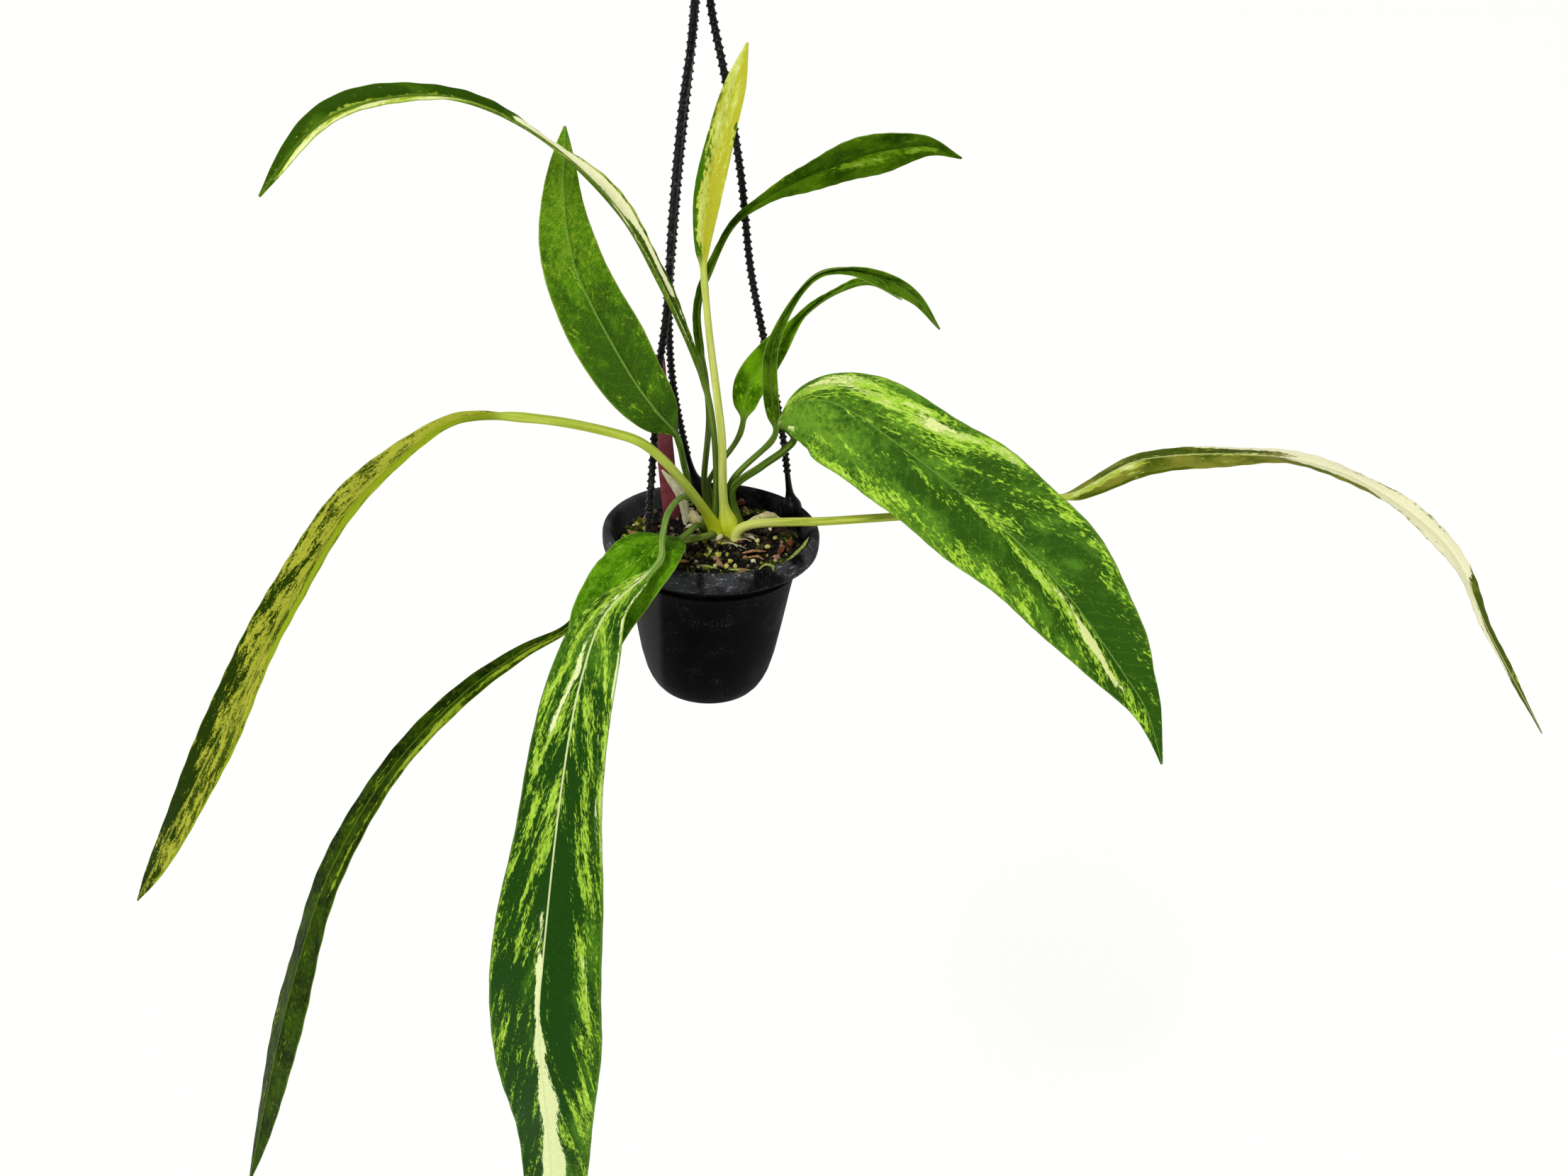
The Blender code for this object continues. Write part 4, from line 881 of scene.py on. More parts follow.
hook_line = [(HOOK_SEAT[0], 0.0, height) for height, _ in HOOK_HUB] + [HOOK_NECK]
hook_radii = [radius for _, radius in HOOK_HUB] + [HOOK_BAR]
turn = np.radians(np.linspace(*HOOK_TURN, HOOK_ROWS))
hook_x = HOOK_SEAT[0] + HOOK_RADIUS * np.cos(turn)
hook_z = HOOK_SEAT[2] + HOOK_BAR - HOOK_RADIUS + HOOK_RADIUS * np.sin(turn)
hook_line += np.column_stack([hook_x, 0 * turn, hook_z]).tolist()
hook_radii += [HOOK_BAR] * (HOOK_ROWS - len(HOOK_TIP)) + HOOK_TIP
add_piece("hanger_hook_moulded", swept(hook_line, hook_radii, HOOK_SIDES),
          ring_faces(len(hook_line), HOOK_SIDES), hanger_plastic, "hanger_hook", ["hanger_hook"])


# Leaves: each is one living piece, a round stalk that flattens into a thin strap-shaped blade. The blade has
# a midrib with a keel under it, slightly puffed cells between its side veins, and waved edges. Patches of
# cells without green make the lime and cream marbling, which runs out along the veins towards the tip.
# The keel is KEEL[0] deep at the tip, and deeper by KEEL[1] where the blade starts. The ridge, the groove
# and the knee under the blade are each a height and a reach.
BLADE_THICKNESS = 0.5
BLADE_TOP = 0.2
KEEL = (0.3, 1.7)
KEEL_HALF = 1.3
RIDGE = (0.35, 0.8)
GROOVE = (0.5, 2.4)
STALK_TO_BLADE = 14.0
STALK_KNEE = (0.25, 6.0)
EDGE_FOLD_LOSS = 0.35
RIGHT_EDGE_SHIFT = 1.3
STALK_BASE = 103.0
STALK_STRAIGHT = 7.0
STALK_ROW = 2.4
BLADE_ROW = 1.7
ACROSS = 37
VEIN_SPACING = 8.0
VEIN_SLANT = 0.8


def eased(keys, at):
    """Values at the places in `at`, on a curve without corners through (place, value) keys.

    Between two keys it is a cubic Hermite curve, whose slope at a key is that of the line between its
    two neighbours.
    """
    place, value = np.array(keys, float).T
    step = np.diff(place)
    slope = np.empty(len(place))
    slope[0] = (value[1] - value[0]) / step[0]
    slope[-1] = (value[-1] - value[-2]) / step[-1]
    slope[1:-1] = (value[2:] - value[:-2]) / (place[2:] - place[:-2])
    i = np.clip(np.searchsorted(place, at) - 1, 0, len(step) - 1)
    t = np.clip((at - place[i]) / step[i], 0, 1)
    from_start = (2 * t**3 - 3 * t**2 + 1) * value[i] + (t**3 - 2 * t**2 + t) * step[i] * slope[i]
    from_end = (3 * t**2 - 2 * t**3) * value[i + 1] + (t**3 - t**2) * step[i] * slope[i + 1]
    return from_start + from_end


def marked(marks, u, v, width, length):
    """The sum of long soft strokes on a blade.

    A stroke is (u0, v0, u1, v1, reach, amount): it runs from one place to the other in a straight line of
    (u, v), fades across over its reach in millimetres, and fades beyond its ends two and a half times as
    slowly.
    """
    total = np.zeros(np.broadcast(u, v).shape)
    for u0, v0, u1, v1, reach, amount in marks:
        t = np.clip((u - u0) / max(u1 - u0, 1e-6), 0, 1)
        beside = (v - v0 - (v1 - v0) * t) * width
        beyond = (np.maximum(u0 - u, 0) + np.maximum(u - u1, 0)) * length / 2.5
        total += amount * bell(np.hypot(beside, beyond), reach)
    return total


def leaf_material(name, deep, mid, lime, cream, rib, stalk, base, patch, margin=None, margin_share=0.6,
                  grain=1.0, drawn=1.0, net_share=0.12, blotch=0.5, net=0.5, vein=0.12, rib_half=0.07,
                  rib_share=0.6, base_share=0.75, base_end=3.0, roughness=0.44):
    """A leaf's skin, which reads four attributes of the piece.

    place: u along the blade, v across it, and 1 on the upper side. flow: centimetres along and beside the
    streaks, and a number for each half. reach: centimetres from the socket and from the midrib, and 1 on
    the blade. bias: how far the lime, the cream and the deep green are helped at that place.

    The green is a soft mix of the deep and the mid colour, with small mottles (blotch). Lime shows where a
    sum rises over patch[0]: a broad cloud and a fine one, both stretched along the streaks, the edges of
    small cells (net_share), and the bias. It is dull where the sum is barely over, and bright well over
    it. Cream shows where a like sum rises over patch[1], with a grey-green border. grain: how fine the
    clouds and the cells are. drawn: the same along the streaks alone, less than 1 for longer ones.

    Over that lie the net of small veins (net), the side veins (vein), the midrib (rib, up to rib_half
    centimetres beside its middle) and the margin. The stalk has soft lengthwise streaks of its two
    colours, and the base colour on its lowest base_end centimetres.
    """
    material, tree, shader = new_material(name, roughness, 0.02)
    flow = attribute(tree, "flow")
    reach = attribute(tree, "reach")
    _, v, upper = parts(tree, attribute(tree, "place"))
    along, across, blade = parts(tree, reach)
    lime_bias, cream_bias, deep_bias = parts(tree, attribute(tree, "bias"))
    from_rib = maths(tree, "ABSOLUTE", across)

    def stretched(share, shift=0.0):
        """The flow, shortened along the streaks, and moved on to an unlike part of the clouds."""
        terms = {0: flow, 1: (share * drawn, 1.0, 1.0), 2: (shift, shift, shift)}
        return node(tree, "VectorMath", terms, operation="MULTIPLY_ADD").outputs[0]

    broad = noise(tree, stretched(0.20), 1.35 * grain, 4.0, 0.55, 0.25)
    fine = noise(tree, stretched(0.38), 6.6 * grain, 6.0, 0.64, 0.2)
    cells = node(tree, "TexVoronoi", {"Vector": stretched(0.42), "Scale": 2.7 * grain},
                 feature="DISTANCE_TO_EDGE").outputs[0]
    netted = soft_step(tree, cells, 0.0, 0.22, net_share, 0.0)
    level = maths(tree, "MULTIPLY_ADD", broad, 2.1, lime_bias)
    level = maths(tree, "MULTIPLY_ADD", fine, 1.7, maths(tree, "ADD", level, netted))
    level = maths(tree, "SUBTRACT", level, 1.4)
    second = noise(tree, stretched(0.17, 7.3), 1.5 * grain, 6.0, 0.62, 0.15)
    pale = maths(tree, "MULTIPLY_ADD", second, 1.2, cream_bias)
    pale = maths(tree, "SUBTRACT", maths(tree, "ADD", fine, pale), 0.60)

    shade = maths(tree, "SUBTRACT", noise(tree, stretched(0.6, 3.1), 0.8, 5.0, 0.6), deep_bias)
    green = mixed(tree, soft_step(tree, shade, 0.36, 0.64), deep, mid)
    mottle = maths(tree, "SUBTRACT", noise(tree, reach, 3.2, 6.0, 0.68), deep_bias)
    green = mixed(tree, soft_step(tree, mottle, 0.46, 0.66, 0.0, blotch), green, mixed(tree, 0.35, mid, lime))
    dull = mixed(tree, 0.42, mid, lime)
    colour = mixed(tree, soft_step(tree, level, patch[0] - 0.12, patch[0] - 0.03, 0.0, 0.25), green, dull)
    limed = mixed(tree, soft_step(tree, level, patch[0] + 0.03, patch[0] + 0.25), dull, lime)
    limed = mixed(tree, soft_step(tree, level, patch[0] + 0.30, patch[0] + 0.62, 0.0, 0.6), limed, cream)
    colour = mixed(tree, soft_step(tree, level, patch[0] - 0.02, patch[0] + 0.02), colour, limed)
    ghost = mixed(tree, 0.35, mid, cream)
    colour = mixed(tree, soft_step(tree, pale, patch[1] - 0.13, patch[1] - 0.03, 0.0, 0.7), colour, ghost)
    colour = mixed(tree, soft_step(tree, pale, patch[1] - 0.02, patch[1] + 0.03), colour, cream)

    surface = node(tree, "CombineXYZ", {0: along, 1: across, 2: 0.0}).outputs[0]
    small = node(tree, "TexVoronoi", {"Vector": surface, "Scale": 5.2}, feature="DISTANCE_TO_EDGE").outputs[0]
    cell = soft_step(tree, small, 0.0, 0.22)
    dust = noise(tree, surface, 26.0, 3.0, 0.6)
    tone = maths(tree, "MULTIPLY_ADD", cell, -0.14 * net, 0.86 + 0.07 * net)
    tone = maths(tree, "MULTIPLY_ADD", dust, 0.28, tone)
    tone_colour = node(tree, "CombineColor", {0: tone, 1: tone, 2: tone}).outputs[0]
    colour = mixed(tree, 1.0, colour, tone_colour, "MULTIPLY")
    wobble = maths(tree, "MULTIPLY", noise(tree, surface, 0.9, 3.0), 1.1)
    slanted = maths(tree, "ADD", maths(tree, "MULTIPLY_ADD", from_rib, -VEIN_SLANT, along), wobble)
    # Up and down over half the spacing of the veins, in centimetres: nothing on a vein.
    side_vein = maths(tree, "PINGPONG", slanted, VEIN_SPACING / 20)
    on_vein = soft_step(tree, side_vein, 0.008, 0.05, 1.0, 0.0)
    colour = mixed(tree, maths(tree, "MULTIPLY", on_vein, vein), colour, mixed(tree, 0.4, mid, lime))
    on_rib = soft_step(tree, from_rib, rib_half * 0.45, rib_half, rib_share, 0.0)
    colour = mixed(tree, on_rib, colour, rib)
    if margin:
        on_edge = soft_step(tree, maths(tree, "ABSOLUTE", v), 0.94, 0.985, 0.0, margin_share)
        colour = mixed(tree, on_edge, colour, margin)

    lines = node(tree, "CombineXYZ", {0: maths(tree, "MULTIPLY", along, 0.10), 1: v, 2: 0.0}).outputs[0]
    streaked = soft_step(tree, noise(tree, lines, 2.6, 5.0, 0.55), 0.30, 0.70)
    stalk_colour = mixed(tree, streaked, stalk[0], stalk[1])
    near_base = soft_step(tree, along, base_end * 0.2, base_end, base_share, 0.0)
    stalk_colour = mixed(tree, near_base, stalk_colour, base)
    stalk_colour = mixed(tree, soft_step(tree, dust, 0.55, 0.75, 0.0, 0.25), stalk_colour, stalk[1])
    colour = mixed(tree, blade, stalk_colour, colour)

    below = maths(tree, "MULTIPLY", maths(tree, "SUBTRACT", 1.0, upper), 0.12)
    colour = mixed(tree, below, colour, (132, 154, 64))
    tree.links.new(colour, shader.inputs["Base Color"])
    rough = soft_step(tree, dust, 0.3, 0.7, roughness - 0.05, roughness + 0.08)
    tree.links.new(rough, shader.inputs["Roughness"])
    height = maths(tree, "MULTIPLY_ADD", cell, 0.6 * net, maths(tree, "MULTIPLY", dust, 0.4))
    height = maths(tree, "MULTIPLY_ADD", mottle, 1.6, height)
    height = maths(tree, "MULTIPLY_ADD", on_vein, -0.35, height)
    bumped(tree, shader, height, 0.20)
    return material


def add_leaf(name, material, heading, base, way, blade_from, stalk, half, roll, fold, wave,
             swell=(0.8, 12.0, 0.0), puff=0.16, streak_turn=18.0, uneven=((0, 0), (1, 0)), limes=(),
             creams=(), deeps=()):
    """One leaf from its socket to its tip, with ACROSS points on its upper side and as many below.

    The midrib is a smooth line through the points of way. A point of the blade lies at width × v out from
    it, turned up by the fold, with roll turning the whole section about the midrib. Its edge rises by
    wave's height × |v|² × sin(2π waves u + phase). The section also has a ridge in a shallow groove along
    the midrib, and cells that rise by puff × |sin| of their place between two side veins.

    heading: the direction of the leaf's plane, in degrees from +X. base: x and y of its socket. way: points
    of its midrib above the socket. blade_from: where the blade starts on it. stalk: radii at the socket, a
    third of the way up and at the blade. half, roll and fold are keys of (u, value), u from 0 at the
    blade's start to 1 at its tip. swell: how much thicker the stalk is near its socket, over what reach,
    and how far up. streak_turn: how far the streaks lean away from the midrib, in degrees. uneven: keys of
    (u, share) by which the half with v over 0 is wider. limes, creams, deeps: strokes of colour, as
    marked() takes them.
    """
    socket = [(*base, STALK_BASE), (*base, STALK_BASE + STALK_STRAIGHT)]
    line, along = smooth_line(socket + way)
    length = along[-1]
    stalk_rows = int(blade_from / STALK_ROW)
    blade_rows = int((length - blade_from) / BLADE_ROW)
    places = np.concatenate([np.linspace(0.0, blade_from, stalk_rows, endpoint=False),
                             np.linspace(blade_from, length, blade_rows)])
    middle = points_at(line, along, places)
    u = np.clip((places - blade_from) / (length - blade_from), 0, 1)

    tangent = points_at(np.gradient(line, along, axis=0), along, places)
    tangent /= np.linalg.norm(tangent, axis=1)[:, None]
    level = np.array([-np.sin(np.radians(heading)), np.cos(np.radians(heading)), 0.0])
    up0 = np.cross(tangent, level)
    up0 /= np.linalg.norm(up0, axis=1)[:, None]
    left0 = np.cross(up0, tangent)
    turn = np.radians(eased(roll, u))[:, None]
    left = (left0 * np.cos(turn) + up0 * np.sin(turn))[:, None, :]
    up = (up0 * np.cos(turn) - left0 * np.sin(turn))[:, None, :]

    even = np.linspace(-1, 1, ACROSS)
    place = (even - 0.72 * np.sin(2 * np.pi * even) / (2 * np.pi))[None, :]
    out = np.abs(place)
    side = np.sign(place)
    width = np.maximum(eased(half, u), 0.35)[:, None]
    width = width * (1 + eased(uneven, u)[:, None] * (place > 0))
    bend = np.radians(eased(fold, u))[:, None] * (1 - EDGE_FOLD_LOSS * out)
    height, waves, phase = wave
    fullness = np.where((u > 0) & (u < 1), np.sin(np.pi * u), 0.0)[:, None] ** 0.7
    turns = 2 * np.pi * waves * u[:, None] + phase + RIGHT_EDGE_SHIFT * (side > 0)
    ripple = height * fullness * out**2 * np.sin(turns)
    ripple += 0.22 * fullness * out**6 * np.sin(5.3 * turns + 2.0 * side)
    across = place * width
    between = (places[:, None] - VEIN_SLANT * np.abs(across)) / VEIN_SPACING
    puffed = puff * fullness * np.abs(np.sin(np.pi * between)) * (1 - out**3) * (1 - bell(across, 2.0))
    ridge = RIDGE[0] * bell(across, RIDGE[1]) - GROOVE[0] * bell(across, GROOVE[1])
    ridge = ridge * np.minimum(1, width / 8)
    sideways = (side * width * out * np.cos(bend))[..., None]
    upwards = (width * out * np.sin(bend) + ripple + puffed)[..., None]
    skin = middle[:, None, :] - left * sideways + up * upwards
    normal = up * np.cos(bend)[..., None] + left * (side * np.sin(bend))[..., None]
    to_edge = np.clip((width - np.abs(across)) / 0.6, 0, 1)
    thickness = BLADE_THICKNESS * np.sqrt(np.maximum(1 - (1 - to_edge) ** 2, 0.04))
    keel = (KEEL[0] + KEEL[1] * (1 - u[:, None])) * bell(across, KEEL_HALF)
    blade_top = skin + normal * (BLADE_TOP - BLADE_THICKNESS / 2 + thickness / 2 + ridge)[..., None]
    blade_low = skin + normal * (BLADE_TOP - BLADE_THICKNESS / 2 - thickness / 2 - keel)[..., None]

    radius = np.interp(places, [0, 0.35 * blade_from, blade_from], stalk)
    radius = radius + swell[0] * bell(places - swell[2], swell[1])
    knee = STALK_KNEE[0] * bell(places - blade_from + STALK_KNEE[1], STALK_KNEE[1])
    radius = (radius + knee)[:, None]
    channel = 1 - 0.10 * bell(place, 0.3)
    angle = np.radians(90 + 86 * place)
    lift = np.sin(angle) * channel * radius
    stalk_side = left * (np.cos(angle) * radius)[..., None]
    stalk_top = middle[:, None, :] + stalk_side + up * lift[..., None]
    stalk_low = middle[:, None, :] + stalk_side - up * (np.sin(angle) * radius)[..., None]
    blend = np.clip((places - blade_from) / STALK_TO_BLADE, 0, 1)
    blend = (blend**2 * (3 - 2 * blend))[:, None]
    share = blend[..., None]
    top = stalk_top * (1 - share) + blade_top * share
    low = stalk_low * (1 - share) + blade_low * share
    rings = np.concatenate([top, low[:, ::-1]], axis=1)

    rows = len(places)
    v = np.concatenate([place, place[:, ::-1]], axis=1)
    all_round = np.concatenate([width, width[:, ::-1]], axis=1)
    reached = v * (all_round * blend + radius * (1 - blend))
    cos, sin = np.cos(np.radians(streak_turn)), np.sin(np.radians(streak_turn))
    ones = np.ones_like(reached)
    far = places[:, None] * ones
    streak = far * cos + np.abs(reached) * sin
    beside = np.abs(reached) * cos - far * sin
    upper = np.concatenate([np.ones((rows, ACROSS)), np.zeros((rows, ACROSS))], axis=1)
    upper = upper * blend + (1 - blend)
    blade_length = length - blade_from
    u = u[:, None] * ones
    biases = [marked(marks, u, v, all_round, blade_length) for marks in (limes, creams, deeps)]
    attributes = {
        "place": np.stack([u, v * ones, upper], axis=2),
        "flow": np.stack([streak / 10, beside / 10, np.sign(v) * ones * 1.7], axis=2),
        "reach": np.stack([far / 10, reached / 10, blend * ones], axis=2),
        "bias": np.stack(biases, axis=2),
    }
    faces = ring_faces(rows, 2 * ACROSS)[:-2]
    j = np.arange(ACROSS - 1)
    cap = np.stack([j, j + 1, 2 * ACROSS - 2 - j, 2 * ACROSS - 1 - j], axis=1)
    for start in (0, (rows - 1) * 2 * ACROSS):
        faces += (cap + start).tolist()
    add_piece(name + "_skin", rings, faces, material, name, [name], attributes, sharp=80.0)


# The high leaf that arches over to the left: pale and folded up to its twist, dark beyond it.
add_leaf("leaf_arching_left_high", leaf_material(
    "pale arching leaf", deep=(44, 74, 6), mid=(82, 118, 16), lime=(176, 194, 62),
    cream=(255, 255, 202), rib=(84, 116, 30), stalk=((58, 90, 14), (120, 146, 60)),
    patch=(0.82, 0.95), grain=1.6, rib_half=0.12, rib_share=0.9, margin=(110, 146, 40), margin_share=0.8,
    net=0.3, vein=0.04, base=(120, 150, 40)),
    heading=218, base=(1.2, 11.3), blade_from=118, stalk=(2.3, 2.0, 1.9),
    way=[(1, 6, 158), (-3, 0, 196), (-10, -13, 227), (-29, -49, 285), (-47, -65, 322), (-83, -91, 362),
         (-118, -104, 377), (-154, -114, 374), (-177, -120, 363), (-205, -127, 332)],
    half=[(0, 2), (0.12, 4), (0.35, 7), (0.5, 6.8), (0.6, 5.8), (0.7, 6.2), (0.85, 7.6), (0.94, 4.6),
          (1, 0.6)],
    roll=[(0, -49), (0.42, -49), (0.55, -15), (0.68, -30), (1, -30)],
    fold=[(0, 45), (0.42, 45), (0.55, 8), (0.68, 38), (1, 34)], wave=(0.8, 5, 0.3),
    streak_turn=5.0,
    creams=[(0.21, 0.60, 0.38, 0.55, 1.5, 0.95), (0.38, 0.50, 0.57, 0.45, 3.2, 1.10),
            (0.08, 0.64, 0.20, 0.60, 0.6, 0.45), (0.10, -0.75, 0.40, -0.85, 1.6, 0.55),
            (0.22, 0.97, 0.50, 0.97, 0.9, -0.90)],
    limes=[(0.30, 0.92, 0.52, 0.90, 1.4, 0.60), (0.60, -0.50, 0.78, -0.48, 2.2, 0.42),
           (0.80, -0.48, 0.97, -0.45, 3.4, 0.52), (0.48, -0.85, 0.70, -0.90, 1.4, 0.36),
           (0.70, -0.92, 0.95, -0.92, 2.0, 0.54), (0.55, 0.55, 1.00, 0.60, 6.0, -0.36),
           (0.60, 0.00, 0.85, 0.12, 1.0, 0.45)],
    deeps=[(0.6, 0.6, 1.0, 0.6, 8.0, 0.15)])

# The broad plain leaf that stands up on the left.
add_leaf("leaf_broad_left", leaf_material(
    "plain broad leaf", deep=(32, 80, 0), mid=(78, 132, 2), lime=(168, 204, 52),
    cream=(190, 205, 110), rib=(124, 164, 70), stalk=((58, 88, 16), (110, 142, 50)),
    patch=(0.98, 1.4), blotch=0.7, rib_half=0.05, margin=(140, 174, 60), net=2.6, vein=0.15,
    base=(104, 132, 40)),
    heading=228, base=(2.0, 17.5), blade_from=108, stalk=(2.3, 2.0, 1.8),
    way=[(-13, 8, 132), (-17, -6, 155), (-20, -40, 193), (-29, -60, 214), (-41, -65, 233),
         (-63, -67, 274), (-71, -69, 295), (-75, -71, 328), (-73, -70, 363)],
    half=[(0, 2), (0.06, 5), (0.14, 11.5), (0.25, 16.5), (0.4, 19.5), (0.55, 18.5), (0.7, 15.5),
          (0.85, 10), (0.94, 5), (1, 0.6)],
    roll=[(0, 70), (1, 75)], fold=[(0, 14), (0.3, 8), (1, 12)], wave=(1.3, 4, 0.5),
    deeps=[(0.0, 0.0, 0.40, 0.1, 18.0, 0.16), (0.66, 0.0, 1.0, 0.0, 16.0, -0.10)])

# The new leaf, yellow and still folded, that stands straight up on a thick pale stalk.
add_leaf("leaf_new_upright", leaf_material(
    "new yellow leaf", deep=(62, 108, 8), mid=(176, 176, 42), lime=(196, 208, 96),
    cream=(238, 240, 160), rib=(200, 190, 40), stalk=((176, 190, 76), (212, 220, 122)),
    patch=(0.66, 1.0), blotch=0.2, rib_half=0.06, rib_share=0.5, net=0.3, vein=0.0, roughness=0.38,
    base=(204, 216, 42), base_share=0.95, base_end=3.4),
    heading=350, base=(11.0, 7.0), blade_from=180, stalk=(3.2, 2.6, 1.9), swell=(3.5, 9.5, 11.0),
    way=[(7, 4, 130), (5, -5, 178), (2, -9, 204), (-5, -14, 257), (-8, -16, 298), (-3, -18, 337),
         (13, -22, 402)],
    half=[(0, 1.9), (0.1, 4.2), (0.3, 8), (0.45, 8.6), (0.65, 7.8), (0.82, 6.3), (0.93, 3.2), (1, 0.5)],
    roll=[(0, 90), (1, 92)], fold=[(0, 45), (0.3, 36), (1, 32)], wave=(0.8, 3, 0.0),
    streak_turn=6.0,
    deeps=[(0.05, -0.90, 0.60, -0.92, 3.2, 0.62), (0.60, -0.92, 0.95, -0.95, 1.6, 0.20),
           (0.10, -0.40, 0.50, -0.40, 3.0, 0.22), (0.50, -0.40, 1.00, -0.40, 6.0, -0.15),
           (0.00, 0.50, 1.00, 0.50, 6.0, -0.35), (0.64, 0.92, 0.68, 0.92, 0.9, 0.70)],
    limes=[(0.1, -0.3, 0.9, -0.3, 4.0, 0.20), (0.05, -0.94, 0.58, -0.94, 2.2, -0.34)])

# The dark leaf that rises behind the new one and bends over to the right.
add_leaf("leaf_upper_right", leaf_material(
    "dark bending leaf", deep=(34, 64, 0), mid=(68, 102, 4), lime=(106, 140, 24),
    cream=(180, 196, 110), rib=(30, 56, 8), stalk=((50, 72, 16), (118, 140, 66)),
    patch=(0.96, 1.4), rib_half=0.05, margin=(110, 142, 48), blotch=0.45,
    base=(96, 120, 36)),
    heading=0, base=(-2.0, 22.0), blade_from=115, stalk=(2.3, 2.0, 1.8),
    way=[(-7, 20, 133), (-5, 16, 186), (-13, 12, 249), (-11, 11, 263), (-7, 10, 274), (6, 7, 303),
         (24, 4, 320), (71, 1, 345), (105, 0, 354), (116, 0, 354), (132, 0, 349)],
    half=[(0, 2), (0.1, 3.2), (0.36, 2.8), (0.46, 2.8), (0.53, 4.6), (0.6, 8), (0.7, 12.5), (0.8, 13),
          (0.88, 9), (0.95, 3.5), (1, 0.5)],
    roll=[(0, 60), (0.42, 70), (0.55, 112), (1, 116)],
    fold=[(0, 65), (0.4, 60), (0.52, 22), (1, 15)], wave=(1.0, 5, 0.0),
    streak_turn=8.0, limes=[(0.62, 0.25, 0.92, 0.30, 2.2, 0.46), (0.66, -0.2, 0.9, -0.3, 2.0, 0.18)])

# Two narrow leaves, one behind the other, that arch to the right at half height.
add_leaf("leaf_arching_right", leaf_material(
    "dark narrow leaf", deep=(40, 70, 4), mid=(78, 114, 16), lime=(112, 148, 40),
    cream=(170, 190, 110), rib=(104, 134, 56), stalk=((62, 88, 20), (112, 142, 54)),
    patch=(0.98, 1.4), margin=(140, 166, 78), margin_share=0.8, blotch=0.4, base=(104, 132, 40)),
    heading=20, base=(13.0, 16.0), blade_from=86, stalk=(2.3, 2.0, 1.8),
    way=[(10, 12, 139), (36, 5, 175), (38, 4, 182), (34, 2, 206), (34, 3, 238), (55, 8, 277),
         (73, 12, 282), (95, 17, 277), (117, 21, 265), (134, 24, 246)],
    half=[(0, 2), (0.08, 5), (0.22, 5.6), (0.36, 4.2), (0.48, 4.2), (0.6, 5.2), (0.72, 6), (0.8, 6),
          (0.9, 3.2), (1, 0.5)],
    roll=[(0, 60), (0.45, 70), (0.65, 95), (1, 105)],
    fold=[(0, 45), (0.3, 60), (0.5, 105), (0.62, 100), (0.75, 55), (1, 30)], wave=(0.8, 4, 0.6))
add_leaf("leaf_arching_right_rear", leaf_material(
    "rear narrow leaf", deep=(52, 92, 2), mid=(104, 156, 12), lime=(136, 180, 36),
    cream=(180, 200, 120), rib=(106, 140, 50), stalk=((62, 88, 20), (112, 142, 54)),
    patch=(0.98, 1.4), margin=(140, 166, 68), margin_share=0.7, blotch=0.45, base=(104, 132, 40)),
    heading=30, base=(4.0, 27.0), blade_from=86, stalk=(2.1, 1.8, 1.7),
    way=[(-5, 27, 131), (-1, 24, 143), (15, 16, 173), (19, 13, 203), (23, 13, 213), (35, 14, 232),
         (55, 19, 255), (72, 25, 265), (89, 30, 269), (110, 35, 260)],
    half=[(0, 2), (0.08, 7), (0.2, 10.5), (0.35, 9), (0.5, 5.5), (0.62, 4), (0.8, 4), (0.93, 2.5), (1, 0.5)],
    roll=[(0, 50), (0.45, 55), (0.7, 20), (1, 10)],
    fold=[(0, 20), (0.35, 30), (0.55, 95), (0.8, 90), (1, 30)], wave=(1.0, 4, 0.1))

